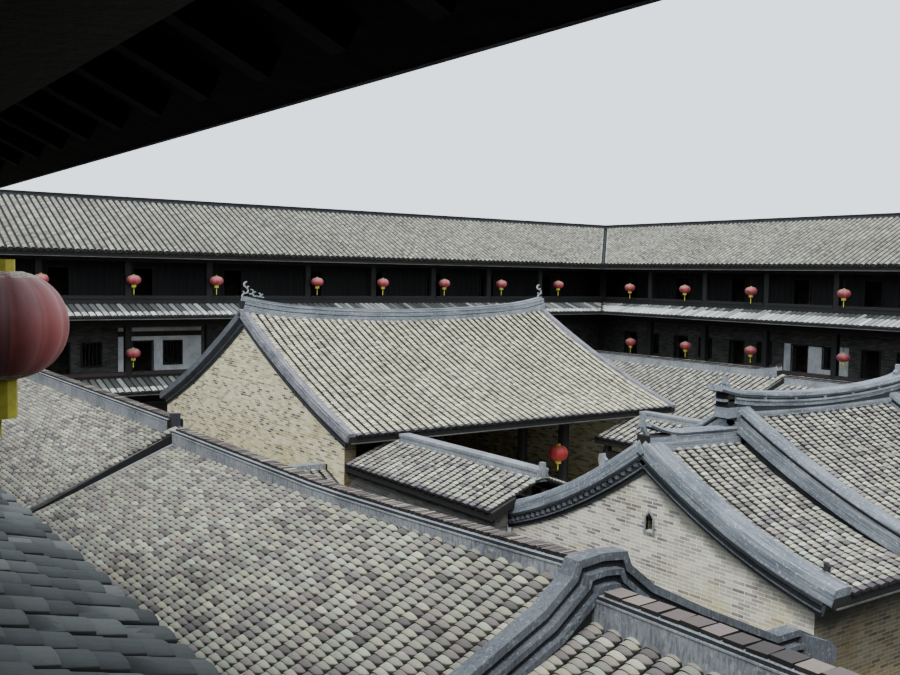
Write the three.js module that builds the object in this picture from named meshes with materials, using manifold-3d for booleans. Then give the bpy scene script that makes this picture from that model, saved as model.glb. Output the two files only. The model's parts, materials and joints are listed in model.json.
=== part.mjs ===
// A rectangular courtyard tulou: a three-storey ring of rooms round a court, with two halls on the
// long axis, two side galleries and two side rows in the court. Lengths are metres on the real
// building; the last group turns them into millimetres at half size.
// +X east, +Y to the back of the building, +Z up, origin on the ground under its middle.
import * as THREE from 'three';
import { mergeVertices } from 'three/addons/utils/BufferGeometryUtils.js';
import Module from 'manifold-3d';

const wasm = await Module();
wasm.setup();

const modelScale = 0.5;
const millimetres = 1000;
const seam = 0.0006; // open joint between pieces that bear on each other
const past = 1; // how far a cutter reaches beyond what it cuts
const clearAbove = 8; // height that is cleared over a roof's underside

// The ring. Depths are measured outwards from the eave over the court.
const courtHalfX = 17.35;
const courtHalfY = 18.4;
const storeyFloors = [0, 3.3, 6.2]; // top of each storey's floor
const topStorey = storeyFloors.length - 1;
const floorThickness = 0.2;
const roomWall = { from: 2.3, to: 2.6 };
const outerWall = { from: 7.4, to: 8.2 };
const ringRoof = {
  eave: 8.58, ridgeDepth: 4.6, ridge: 10.7, outerDepth: 9.0, outerEave: 8.45, thickness: 0.25,
};
const ringRidge = { halfWidth: 0.15, rise: 0.08 };

// Gallery bays: one wide bay in the middle of each wing, five narrower ones on both sides of it.
const post = { from: 0.73, to: 0.97, halfWidth: 0.12 };
const middleBayHalf = 2.17;
const sideBays = 5;
const bayShift = { north: -1.2, east: 0, south: 0, west: 0 }; // of all posts but the corner ones
const parapetHeight = 0.68;
const galleryBeams = [2.85, 5.75, 8.2]; // underside of the beam over each storey
const pentRoofs = { inner: 0.73, outer: -0.45, fall: 0.36, thickness: 0.13, wallEdges: [3.74, 6.55] };

// Doorways and windows of the rooms, placed from the middle of each bay.
const roomDoor = { width: 0.76, height: 1.74 };
const roomWindow = { width: 0.7, sill: 0.85, height: 0.88 };
const bayOpenings = {
  north: { door: -0.55, window: 0.67 },
  east: { door: -1.0, window: 0.54 },
  south: { door: -1.0, window: 0.54 },
  west: { door: -1.0, window: 0.54 },
};
const outerWindows = [
  { width: 0.35, from: 4.3, to: 5.0 },
  { width: 0.6, from: 7.2, to: 7.95 },
];
const gateway = { halfWidth: 1.2, height: 2.75 };

// The halls and rows in the court.
const wallThickness = 0.35;
const roofThickness = 0.18;
const backHall = {
  halfX: 5.93, verge: 0.1, ridgeY: 10.0, ridge: 6.66, frontY: 3.33, front: 3.75, rearY: 17.1, rear: 3.35,
  sag: 0.2, dip: 0.31, spans: 8, wallFront: 3.75, wallRear: 16.75,
  ridgeBody: { halfWidth: 0.16, rise: 0.25, lift: 0.08 },
};
const backFrame = { columnX: 2.4, rows: [4.6, 6.6], radius: 0.16, beamDepth: 0.3, beamHalf: 0.11 };
const frontHall = {
  halfX: 5.14, verge: 0.12, ridgeY: -5.94, ridge: 4.86, frontY: -9.9, front: 3.15, rearY: -1.78, rear: 2.85,
  sag: 0.22, dip: 0.09, wallFront: -9.5, wallRear: -2.1, innerWall: { from: 2.25, to: 2.5 },
  ridgeBody: { halfWidth: 0.14, rise: 0.2, lift: 0 }, vergeBody: { x: 5.07, halfWidth: 0.185, rise: 0.12 },
};
const frontCentre = {
  halfX: 2.6, verge: 0.2, ridgeY: -5.94, ridge: 5.28, frontY: -10.2, front: 3.32, rearY: -1.6, rear: 3.08,
  sag: 0.18, dip: 0.05, spans: 6,
  ridgeBody: { halfWidth: 0.15, rise: 0.37, lift: 0.08, reach: 3.1 },
  vergeBody: { x: 2.62, halfWidth: 0.165, rise: 0.16 },
};
const frontBeams = {
  frontInset: 0.6, rearInset: 0.2, halfWidth: 0.14, bottom: 3.0, tieHalf: 0.1, tieTop: 3.28,
};
const pointedWindow = { y: -6.06, halfWidth: 0.09, sill: 3.32, shoulder: 3.56, tip: 3.68 };
const sideGallery = {
  ridgeX: 4.45, ridge: 3.55, outerX: 5.9, innerX: 2.9, eave: 2.98, fromY: -2.4, toY: backHall.wallFront,
  ridgeBody: { halfWidth: 0.13, rise: 0.17, toY: 2.95 },
  wall: { from: 5.4, to: 5.75, inset: 0.1 }, postX: 3.15, postRadius: 0.11, posts: [-0.6, 1.4, 3.4],
  plate: { halfWidth: 0.08, from: 2.35, to: 2.6, inset: 0.2 },
};
// A small roof over the passage between a row and the back hall's gable.
const linkRoof = {
  ridgeY: 4.75, ridge: 2.74, halfDepth: 1.0, eave: 2.36, thickness: 0.14, rise: 0.1, halfWidth: 0.1,
};
const row = { ridgeX: 11.55, outerX: 15.3, innerX: 7.8, eave: 3.05, wallOuter: 14.9, wallInner: 8.2 };
const rowSections = {
  west: {
    north: { fromY: 0.6, toY: 14.7, ridge: 4.68 },
    middle: { fromY: -10.74, toY: 0.3, ridge: 4.5 },
    house: { fromY: -16.8, toY: -11.34, ridge: 4.5 },
  },
  east: {
    north: { fromY: 3.4, toY: 14.7, ridge: 4.43 },
    middle: { fromY: -10.74, toY: 3.1, ridge: 4.24 },
    house: { fromY: -16.8, toY: -11.34, ridge: 4.24 },
  },
};
const rowEnds = { north: 14.4, south: -16.5 };
const partyWallRise = 0.1;
const rowRidge = { halfWidth: 0.16, rise: 0.28 };
const rowDoor = { width: 1.0, height: 2.1 };
const rowWindow = { width: 0.9, sill: 1.2, height: 0.9 };
const rowDoorsY = [-8.0, -2.4, 4.0, 11.0];
const rowWindowsY = [-5.2, 1.7, 7.5, 13.0];
const houseDoorY = -14.6;
const houseWindowY = -12.6;
// Half outline of the stepped gable's coping, as distance from the ridge line and height over the ridge.
const steppedGable = {
  outline: [
    [0, 0.63], [0.32, 0.6], [0.38, 0.46], [0.75, 0.18], [1.6, -0.23], [2.9, -0.8], [3.3, -0.8], [3.75, -1],
  ],
  wallFrom: -11.22, wallTo: -10.86, copingFrom: -11.33, copingTo: -10.75, copingDepth: 0.3, seatDrop: 0.5,
};

const brick = new THREE.MeshStandardMaterial({ color: 0x8f8a7c, roughness: 0.95 });
const plaster = new THREE.MeshStandardMaterial({ color: 0x7d858c, roughness: 0.9 });
const timber = new THREE.MeshStandardMaterial({ color: 0x3b2f27, roughness: 0.8 });
const tile = new THREE.MeshStandardMaterial({ color: 0x77776c, roughness: 0.9 });

function solidFrom(geometry) {
  geometry.deleteAttribute('normal');
  geometry.deleteAttribute('uv');
  const merged = mergeVertices(geometry);
  const vertProperties = new Float32Array(merged.attributes.position.array);
  const triVerts = new Uint32Array(merged.index.array);
  return new wasm.Manifold(new wasm.Mesh({ numProp: 3, vertProperties, triVerts }));
}

function block(xRange, yRange, zRange) {
  const spans = [xRange, yRange, zRange].map(([a, b]) => ({ size: Math.abs(b - a), middle: (a + b) / 2 }));
  const [x, y, z] = spans;
  return solidFrom(new THREE.BoxGeometry(x.size, y.size, z.size).translate(x.middle, y.middle, z.middle));
}

const columnSides = 8;
function column(x, y, radius, zRange) {
  const height = zRange[1] - zRange[0];
  const shaft = new THREE.CylinderGeometry(radius, radius, height, columnSides).rotateX(Math.PI / 2);
  return solidFrom(shaft.translate(x, y, zRange[0] + height / 2));
}

// A body swept through outlines that have the same number of points. `flat` gives the plane of
// the end faces; a closed sweep returns to its first outline and has no end faces.
function sweep(outlines, flat, closed = false) {
  const count = outlines[0].length;
  const anticlockwise = !THREE.ShapeUtils.isClockWise(outlines[0].map(flat));
  const loops = anticlockwise ? outlines : outlines.map((outline) => [...outline].reverse());
  const faces = [];
  const spans = closed ? loops.length : loops.length - 1;
  for (let s = 0; s < spans; s += 1) {
    const here = s * count;
    const next = ((s + 1) % loops.length) * count;
    for (let i = 0; i < count; i += 1) {
      const j = (i + 1) % count;
      faces.push(here + i, here + j, next + j, here + i, next + j, next + i);
    }
  }
  if (!closed) {
    const last = (loops.length - 1) * count;
    for (const [a, b, c] of THREE.ShapeUtils.triangulateShape(loops[0].map(flat), [])) faces.push(c, b, a);
    for (const [a, b, c] of THREE.ShapeUtils.triangulateShape(loops[loops.length - 1].map(flat), [])) {
      faces.push(last + a, last + b, last + c);
    }
  }
  const points = loops.flat();
  if (volumeOf(points, faces) < 0) faces.reverse();
  const geometry = new THREE.BufferGeometry().setFromPoints(points);
  geometry.setIndex(faces);
  return solidFrom(geometry);
}

function volumeOf(points, faces) {
  let volume = 0;
  for (let i = 0; i < faces.length; i += 3) {
    const [a, b, c] = [points[faces[i]], points[faces[i + 1]], points[faces[i + 2]]];
    volume += a.dot(new THREE.Vector3().crossVectors(b, c));
  }
  return volume;
}

const flatYZ = (p) => new THREE.Vector2(p.y, p.z);
const flatXZ = (p) => new THREE.Vector2(p.x, p.z);

const prismAlongX = (outline, from, to) => sweep(
  [from, to].map((x) => outline.map(([y, z]) => new THREE.Vector3(x, y, z))), flatYZ);
const prismAlongY = (outline, from, to) => sweep(
  [from, to].map((y) => outline.map(([x, z]) => new THREE.Vector3(x, y, z))), flatXZ);

const join = (solids) => solids.reduce((whole, solid) => whole.add(solid));
const cut = (solid, cutters) => cutters.reduce((rest, cutter) => rest.subtract(cutter), solid);

function piece(name, solid, material) {
  const { vertProperties, triVerts } = solid.getMesh();
  const geometry = new THREE.BufferGeometry();
  geometry.setAttribute('position', new THREE.BufferAttribute(vertProperties, 3));
  geometry.setIndex(new THREE.BufferAttribute(triVerts, 1));
  geometry.computeVertexNormals();
  const mesh = new THREE.Mesh(geometry, material);
  mesh.name = name;
  return mesh;
}

// The band between a roof line and the same line lowered.
const underLine = (line, top, bottom) => [
  ...line.map(([h, z]) => [h, z + top]),
  ...[...line].reverse().map(([h, z]) => [h, z - bottom]),
];

// A third-storey screen is one piece, but the north one is in two halves that meet between doorways.
function screenPieces(side, screen) {
  if (side !== 'north') return [piece(`${side}_third_storey_screen`, screen, timber)];
  const { min, max } = screen.boundingBox();
  return [['west', min[0]], ['east', max[0]]].map(([end, reach]) => {
    const along = [(Math.sign(reach) * seam) / 2, 2 * reach];
    const half = block(along, [min[1] - past, max[1] + past], [min[2] - past, max[2] + past]);
    return piece(`${side}_third_storey_${end}_screen`, screen.intersect(half), timber);
  });
}

// One wing of the ring, built along X with its eave at `eave` from the middle of the court.
// `half` is half the eave's length, and a mitred end lies `half` + depth from the middle.
function wing(side, turn, eave, half, runsThrough) {
  const mitred = (outline) => sweep([-1, 1].map((end) => outline.map(
    ([d, z]) => new THREE.Vector3(end * (half + d - seam), eave + d, z))), flatYZ);
  const slab = (range, halfLength, zRange) => block(
    [-halfLength, halfLength], [eave + range.from, eave + range.to], zRange);
  const endOf = (range) => half + (runsThrough ? range.to : range.from - seam);
  const pitch = (half + (post.from + post.to) / 2 - middleBayHalf) / sideBays;
  const postLines = [...Array(sideBays + 1).keys()].flatMap((i) => {
    const u = middleBayHalf + i * pitch;
    const shift = i < sideBays ? bayShift[side] : 0;
    return [shift - u, shift + u];
  }).sort((a, b) => a - b);
  const bays = postLines.slice(1).map(
    (to, i) => ({ from: postLines[i], to, middle: (postLines[i] + to) / 2 }));

  const { ridgeDepth, ridge, thickness } = ringRoof;
  const slopes = [[0, ringRoof.eave], [ridgeDepth, ridge], [ringRoof.outerDepth, ringRoof.outerEave]];
  const innerFall = (ridge - ringRoof.eave) / ridgeDepth;
  const outerFall = (ridge - ringRoof.outerEave) / (ringRoof.outerDepth - ridgeDepth);
  const { halfWidth, rise } = ringRidge;
  const withRidge = [
    slopes[0],
    [ridgeDepth - halfWidth, ridge - innerFall * halfWidth], [ridgeDepth - halfWidth, ridge + rise],
    [ridgeDepth + halfWidth, ridge + rise], [ridgeDepth + halfWidth, ridge - outerFall * halfWidth],
    slopes[2],
    ...[...slopes].reverse().map(([d, z]) => [d, z - thickness]),
  ];
  const roof = mitred(withRidge);
  const underRoof = ringAround(underLine(slopes, clearAbove, thickness + seam), half, eave);

  const rooms = storeyFloors.map((floor, storey) => {
    const top = storey < topStorey ? storeyFloors[storey + 1] - floorThickness - seam : ridge;
    const foot = storey === 0 ? 0 : floor + seam;
    const wall = slab(roomWall, endOf(roomWall), [foot, top]);
    const deep = [eave + roomWall.from - past, eave + roomWall.to + past];
    const holes = bays.flatMap((bay, i) => {
      if (side === 'south' && storey === 0 && i === sideBays) {
        return [block([-gateway.halfWidth, gateway.halfWidth], deep, [-past, gateway.height])];
      }
      const { door, window } = bayOpenings[side];
      const across = (offset, width) => [bay.middle + offset - width / 2, bay.middle + offset + width / 2];
      const doorway = block(across(door, roomDoor.width), deep, [foot - past, floor + roomDoor.height]);
      const sill = floor + roomWindow.sill;
      const light = block(across(window, roomWindow.width), deep, [sill, sill + roomWindow.height]);
      return storey < topStorey ? [doorway, light] : [doorway];
    });
    return cut(wall, storey < topStorey ? holes : [...holes, underRoof]);
  });

  const outside = slab(outerWall, endOf(outerWall), [0, ridge]);
  const through = [eave + outerWall.from - past, eave + outerWall.to + past];
  const outerHoles = bays.flatMap((bay) => outerWindows.map(({ width, from, to }) => block(
    [bay.middle - width / 2, bay.middle + width / 2], through, [from, to])));
  if (side === 'south') {
    outerHoles.push(block([-gateway.halfWidth, gateway.halfWidth], through, [-past, gateway.height]));
  }

  const frame = slab(post, endOf(post), [0, ridge]);
  const acrossFrame = [eave + post.from - past, eave + post.to + past];
  const bayHoles = bays.flatMap((bay, i) => storeyFloors.map((floor, storey) => {
    const openEnd = runsThrough ? -post.halfWidth : past;
    const from = bay.from + (i === 0 ? -openEnd : post.halfWidth);
    const to = bay.to + (i === bays.length - 1 ? openEnd : -post.halfWidth);
    const foot = storey === 0 ? -past : floor + parapetHeight;
    return block([from, to], acrossFrame, [foot, galleryBeams[storey]]);
  }));

  const group = new THREE.Group();
  group.rotation.z = turn;
  group.add(
    piece(`${side}_ground_room_wall`, rooms[0], brick),
    piece(`${side}_second_storey_room_wall`, rooms[1], brick),
    ...screenPieces(side, rooms[2]),
    piece(`${side}_outer_wall`, cut(outside, [...outerHoles, underRoof]), brick),
    piece(`${side}_gallery_frame`, cut(frame, [...bayHoles, underRoof]), timber),
    piece(`${side}_roof`, roof, tile),
  );
  return group;
}

// A closed band round the court with an outline of depths and heights.
function ringAround(outline, halfX, halfY) {
  const corners = [[1, 1], [-1, 1], [-1, -1], [1, -1]];
  const outlines = corners.map(([sx, sy]) => outline.map(
    ([d, z]) => new THREE.Vector3(sx * (halfX + d), sy * (halfY + d), z)));
  return sweep(outlines, flatYZ, true);
}

function floorsAndPentRoofs() {
  const group = new THREE.Group();
  const inner = post.to + seam;
  const outer = outerWall.from - seam;
  ['second_floor', 'third_floor'].forEach((name, i) => {
    const top = storeyFloors[i + 1];
    const bottom = top - floorThickness;
    const outline = [[inner, bottom], [outer, bottom], [outer, top], [inner, top]];
    group.add(piece(name, ringAround(outline, courtHalfX, courtHalfY), timber));
  });
  ['lower_pent_roof', 'upper_pent_roof'].forEach((name, i) => {
    const high = pentRoofs.wallEdges[i];
    const low = high - pentRoofs.fall;
    const wallSide = pentRoofs.inner - seam;
    const { outer: edge, thickness } = pentRoofs;
    const outline = [[wallSide, high - thickness], [wallSide, high], [edge, low], [edge, low - thickness]];
    group.add(piece(name, ringAround(outline, courtHalfX, courtHalfY), tile));
  });
  return group;
}

// Hall roofs run along X. `along` is 0 at an eave and 1 at the ridge.
const slopeSteps = 4;
function hallLine(hall, x) {
  const drop = hall.dip * (1 - (x / hall.halfX) ** 2);
  const point = (eaveY, eaveZ, along) => [
    THREE.MathUtils.lerp(eaveY, hall.ridgeY, along),
    THREE.MathUtils.lerp(eaveZ, hall.ridge, along) - 4 * hall.sag * along * (1 - along) - drop * along,
  ];
  const steps = [...Array(slopeSteps + 1).keys()].map((i) => i / slopeSteps);
  const front = steps.map((along) => point(hall.frontY, hall.front, along));
  const rear = steps.slice(0, -1).reverse().map((along) => point(hall.rearY, hall.rear, along));
  return [...front, ...rear];
}

const alongHall = (hall, stations, outlineAt) => sweep(
  stations.map((x) => outlineAt(hallLine(hall, x)).map(([y, z]) => new THREE.Vector3(x, y, z))), flatYZ);
const hallRoof = (hall, stations) => alongHall(hall, stations, (line) => underLine(line, 0, roofThickness));
const hallClearance = (hall, stations) => alongHall(
  hall, stations, (line) => underLine(line, clearAbove, roofThickness + seam));
function hallStations({ halfX, verge, spans }, reach = halfX + verge) {
  return [...Array(spans + 1).keys()].map((i) => reach * ((2 * i) / spans - 1));
}

// The masonry ridge on a hall's roof, which rises towards its ends.
function hallRidge(hall, stations) {
  const { halfWidth, rise, lift } = hall.ridgeBody;
  return sweep(stations.map((x) => {
    const base = hallLine(hall, x)[slopeSteps][1];
    const top = rise + lift * (x / hall.halfX) ** 2;
    const foot = -roofThickness / 2;
    const outline = [[-halfWidth, foot], [halfWidth, foot], [halfWidth, top], [-halfWidth, top]];
    return outline.map(([y, z]) => new THREE.Vector3(x, hall.ridgeY + y, base + z));
  }), flatYZ);
}

// The masonry verge that runs down both slopes at one end of a hall's roof.
function hallVerge(hall, end) {
  const { x, halfWidth, rise } = hall.vergeBody;
  const band = underLine(hallLine(hall, x), rise, roofThickness / 2);
  return prismAlongX(band, end * (x - halfWidth), end * (x + halfWidth));
}

function backHallPieces() {
  const group = new THREE.Group();
  const { halfX, wallFront, wallRear } = backHall;
  const stations = hallStations(backHall);
  const clearance = hallClearance(backHall, stations);
  const roof = hallRoof(backHall, stations).add(hallRidge(backHall, stations));
  group.add(piece('back_hall_roof', roof, tile));
  for (const [name, end] of [['west', -1], ['east', 1]]) {
    const sides = [end * halfX, end * (halfX - wallThickness)];
    const gable = block(sides, [wallFront, wallRear], [0, backHall.ridge + past]);
    group.add(piece(`back_hall_${name}_gable`, gable.subtract(clearance), brick));
  }
  const inside = halfX - wallThickness - seam;
  const rear = block([-inside, inside], [wallRear - wallThickness, wallRear], [0, backHall.ridge]);
  group.add(piece('back_hall_rear_wall', rear.subtract(clearance), brick));

  const { columnX, rows, radius, beamDepth, beamHalf } = backFrame;
  const { frontY, ridgeY, front, ridge, sag } = backHall;
  const beamTop = (y) => (
    THREE.MathUtils.mapLinear(y, frontY, ridgeY, front, ridge) - sag - roofThickness - beamHalf);
  const timbers = rows.flatMap((y) => {
    const top = beamTop(y);
    const beam = block([-inside, inside], [y - beamHalf, y + beamHalf], [top - beamDepth, top]);
    return [beam, ...[-1, 1].map((end) => column(end * columnX, y, radius, [0, ridge]))];
  });
  const tieTop = beamTop(rows[0]);
  const ties = [-1, 1].map((end) => block(
    [end * columnX - beamHalf, end * columnX + beamHalf], rows, [tieTop - beamDepth, tieTop]));
  group.add(piece('back_hall_front_frame', join([...timbers, ...ties]).subtract(clearance), timber));
  return group;
}

function frontHallPieces() {
  const group = new THREE.Group();
  const { halfX, verge, wallFront, wallRear, innerWall } = frontHall;
  const centreStations = hallStations(frontCentre);
  const centreClearance = hallClearance(frontCentre, centreStations);
  const centreVerges = [-1, 1].map((end) => hallVerge(frontCentre, end));
  const centreRidge = hallRidge(frontCentre, hallStations(frontCentre, frontCentre.ridgeBody.reach));
  const centreRoof = join([hallRoof(frontCentre, centreStations), centreRidge, ...centreVerges]);
  group.add(piece('front_hall_centre_roof', centreRoof, tile));

  for (const [name, end] of [['west', -1], ['east', 1]]) {
    const across = [end * (innerWall.to + seam), end * (halfX + verge)];
    const clearOfCentre = end * (frontCentre.halfX + frontCentre.verge + seam);
    const ridges = [hallRidge(frontHall, [clearOfCentre, across[1]]), hallVerge(frontHall, end)];
    group.add(piece(`front_hall_${name}_roof`, join([hallRoof(frontHall, across), ...ridges]), tile));

    const sideClearance = hallClearance(frontHall, [end * innerWall.to, across[1]]);
    const tall = [0, frontHall.ridge + past];
    const gable = block([end * halfX, end * (halfX - wallThickness)], [wallFront, wallRear], tall);
    const { y, halfWidth, sill, shoulder, tip } = pointedWindow;
    const light = [[y - halfWidth, sill], [y + halfWidth, sill], [y + halfWidth, shoulder],
      [y, tip], [y - halfWidth, shoulder]];
    const window = prismAlongX(light, end * (halfX - past), end * (halfX + past));
    const front = block([end * innerWall.from, end * halfX], [wallFront, wallFront + wallThickness], tall);
    const rear = block([end * innerWall.from, end * halfX], [wallRear - wallThickness, wallRear], tall);
    const inner = block([end * innerWall.from, end * innerWall.to], [wallFront, wallRear], tall);
    const doorway = block(
      [end * (innerWall.from - past), end * (innerWall.to + past)],
      [frontHall.ridgeY - rowDoor.width / 2, frontHall.ridgeY + rowDoor.width / 2], [-past, rowDoor.height]);
    const walls = cut(join([gable, front, rear, inner]), [window, doorway, sideClearance, centreClearance]);
    group.add(piece(`front_hall_${name}_walls`, walls, brick));
  }

  const inside = innerWall.from - seam;
  const { frontInset, rearInset, halfWidth, bottom, tieHalf, tieTop } = frontBeams;
  const lintels = [wallFront + frontInset, wallRear - rearInset];
  const beams = lintels.map(
    (y) => block([-inside, inside], [y - halfWidth, y + halfWidth], [bottom, frontHall.ridge]));
  const tie = block([-tieHalf, tieHalf], lintels, [bottom, tieTop]);
  group.add(piece('front_hall_centre_beams', join([...beams, tie]).subtract(centreClearance), timber));
  return group;
}

// A roof that runs along Y, from its two eaves up to a ridge, for the west (-1) or east (1) side.
const pitchedLine = (end, shape, ridge) => [
  [end * shape.innerX, shape.eave], [end * shape.ridgeX, ridge], [end * shape.outerX, shape.eave]];
const pitchedRoof = (line, from, to) => prismAlongY(underLine(line, 0, roofThickness), from, to);
const pitchedClearance = (line, from, to) => prismAlongY(
  underLine(line, clearAbove, roofThickness + seam), from, to);

function sideGalleryPieces(name, end) {
  const group = new THREE.Group();
  const { ridgeX, ridge, fromY, toY, ridgeBody, wall, postX, postRadius, posts, plate } = sideGallery;
  const line = pitchedLine(end, sideGallery, ridge);
  const clearance = pitchedClearance(line, fromY - past, toY + past);
  const crestSides = [end * ridgeX - ridgeBody.halfWidth, end * ridgeX + ridgeBody.halfWidth];
  const crest = block(crestSides, [fromY, ridgeBody.toY], [ridge - roofThickness, ridge + ridgeBody.rise]);
  const besideFrontHall = block([0, end * (frontHall.halfX + frontHall.verge + seam)],
    [fromY - past, frontCentre.rearY + seam], [0, clearAbove]);
  const roof = pitchedRoof(line, fromY, toY - seam).add(crest).subtract(besideFrontHall);
  group.add(piece(`${name}_side_gallery_roof`, roof, tile));
  const outer = block([end * wall.from, end * wall.to], [fromY + wall.inset, toY - seam], [0, ridge]);
  group.add(piece(`${name}_side_gallery_wall`, outer.subtract(clearance), brick));
  const columns = posts.map((y) => column(end * postX, y, postRadius, [0, ridge]));
  const beam = block([end * (postX - plate.halfWidth), end * (postX + plate.halfWidth)],
    [frontHall.wallRear + seam, toY - plate.inset], [plate.from, plate.to]);
  group.add(piece(`${name}_side_gallery_posts`, join([...columns, beam]).subtract(clearance), timber));
  return group;
}

function linkRoofPiece(name, end) {
  const { ridgeY, ridge, halfDepth, eave, thickness, rise, halfWidth } = linkRoof;
  const line = [[ridgeY - halfDepth, eave], [ridgeY, ridge], [ridgeY + halfDepth, eave]];
  const span = [end * (backHall.halfX + seam), end * (row.wallInner - seam)];
  const crest = block(span, [ridgeY - halfWidth, ridgeY + halfWidth], [ridge - thickness, ridge + rise]);
  return piece(`${name}_link_roof`, prismAlongX(underLine(line, 0, thickness), ...span).add(crest), tile);
}

function rowOpenings(end, doors, windows) {
  const through = [end * (row.wallInner - past), end * (row.wallInner + past)];
  const around = (y, width) => [y - width / 2, y + width / 2];
  return [
    ...doors.map((y) => block(through, around(y, rowDoor.width), [-past, rowDoor.height])),
    ...windows.map((y) => block(
      through, around(y, rowWindow.width), [rowWindow.sill, rowWindow.sill + rowWindow.height])),
  ];
}

function rowPieces(name, end) {
  const group = new THREE.Group();
  const lines = {};
  for (const [section, { fromY, toY, ridge }] of Object.entries(rowSections[name])) {
    lines[section] = pitchedLine(end, row, ridge);
    const ridgeBody = block(
      [end * row.ridgeX - rowRidge.halfWidth, end * row.ridgeX + rowRidge.halfWidth], [fromY, toY],
      [ridge - roofThickness, ridge + rowRidge.rise]);
    const roofName = section === 'house' ? `${name}_house_roof` : `${name}_row_${section}_roof`;
    group.add(piece(roofName, pitchedRoof(lines[section], fromY, toY).add(ridgeBody), tile));
  }

  const { north, middle, house } = rowSections[name];
  const outerFaces = [end * row.wallOuter, end * (row.wallOuter - wallThickness)];
  const innerFaces = [end * row.wallInner, end * (row.wallInner + wallThickness)];
  const across = [end * row.wallInner, end * row.wallOuter];
  const tall = [0, north.ridge + past];
  const partyWall = [middle.toY + seam, north.fromY - seam];
  const gableFoot = steppedGable.wallTo + seam;
  const party = prismAlongY([
    [end * row.innerX, 0], [end * row.outerX, 0], [end * row.outerX, row.eave + partyWallRise],
    [end * row.ridgeX, north.ridge + partyWallRise],
    [end * row.innerX, row.eave + partyWallRise]], ...partyWall);
  const shell = join([
    block(outerFaces, [gableFoot, rowEnds.north], tall),
    block(innerFaces, [gableFoot, rowEnds.north], tall),
    block(across, [rowEnds.north - wallThickness, rowEnds.north], tall),
  ]);
  const clearances = [
    pitchedClearance(lines.north, partyWall[0], north.toY + past),
    pitchedClearance(lines.middle, middle.fromY - past, partyWall[1]),
  ];
  const coping = block(across, [gableFoot - past, steppedGable.copingTo + seam], [0, clearAbove]);
  const openings = rowOpenings(end, rowDoorsY, rowWindowsY);
  const overRoofs = cut(shell, clearances).add(party);
  const seatLine = pitchedLine(end, row, middle.ridge - steppedGable.seatDrop);
  const copingSeat = coping.intersect(
    pitchedClearance(seatLine, steppedGable.copingFrom - past, steppedGable.copingTo + past));
  group.add(piece(`${name}_row_walls`, cut(overRoofs, [...openings, copingSeat]), brick));

  const { outline, wallFrom, wallTo, copingFrom, copingTo, copingDepth } = steppedGable;
  const copingLine = [
    ...outline.slice(1).reverse().map(([x, z]) => [end * (row.ridgeX - x), middle.ridge + z]),
    ...outline.map(([x, z]) => [end * (row.ridgeX + x), middle.ridge + z]),
  ];
  const wallLine = copingLine.map(([x, z]) => [x, z - copingDepth / 2]);
  const gable = prismAlongY([...wallLine, [wallLine.at(-1)[0], 0], [wallLine[0][0], 0]], wallFrom, wallTo);
  const top = prismAlongY(underLine(copingLine, 0, copingDepth), copingFrom, copingTo);
  group.add(piece(`${name}_row_stepped_gable`, gable.add(top), plaster));

  const houseRange = [rowEnds.south, steppedGable.wallFrom - seam];
  const houseShell = join([
    block(outerFaces, houseRange, tall),
    block(innerFaces, houseRange, tall),
    block(across, [rowEnds.south, rowEnds.south + wallThickness], tall),
  ]);
  const houseCuts = [
    pitchedClearance(lines.house, house.fromY - past, house.toY + past),
    ...rowOpenings(end, [houseDoorY], [houseWindowY]),
    block([end * (row.innerX - past), end * (row.outerX + past)], [copingFrom - seam, 0],
      [row.eave - steppedGable.seatDrop, clearAbove]),
  ];
  group.add(piece(`${name}_house_walls`, cut(houseShell, houseCuts), brick));
  return group;
}

const building = new THREE.Group();
building.scale.setScalar(modelScale * millimetres);
building.add(
  wing('north', 0, courtHalfY, courtHalfX, true),
  wing('east', -Math.PI / 2, courtHalfX, courtHalfY, false),
  wing('south', Math.PI, courtHalfY, courtHalfX, true),
  wing('west', Math.PI / 2, courtHalfX, courtHalfY, false),
  floorsAndPentRoofs(),
  backHallPieces(),
  frontHallPieces(),
  sideGalleryPieces('west', -1),
  sideGalleryPieces('east', 1),
  rowPieces('west', -1),
  rowPieces('east', 1),
  linkRoofPiece('west', -1),
  linkRoofPiece('east', 1),
);

export default building;
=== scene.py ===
# Looks of the rectangular tulou courtyard house: tiles, ridges, brickwork, timber and lanterns.
# Lengths are metres on the real building, as in the part's source; modelScale turns them into the frame's.
import json
import math
import bpy
import numpy as np
from mathutils import Matrix, Vector

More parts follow.
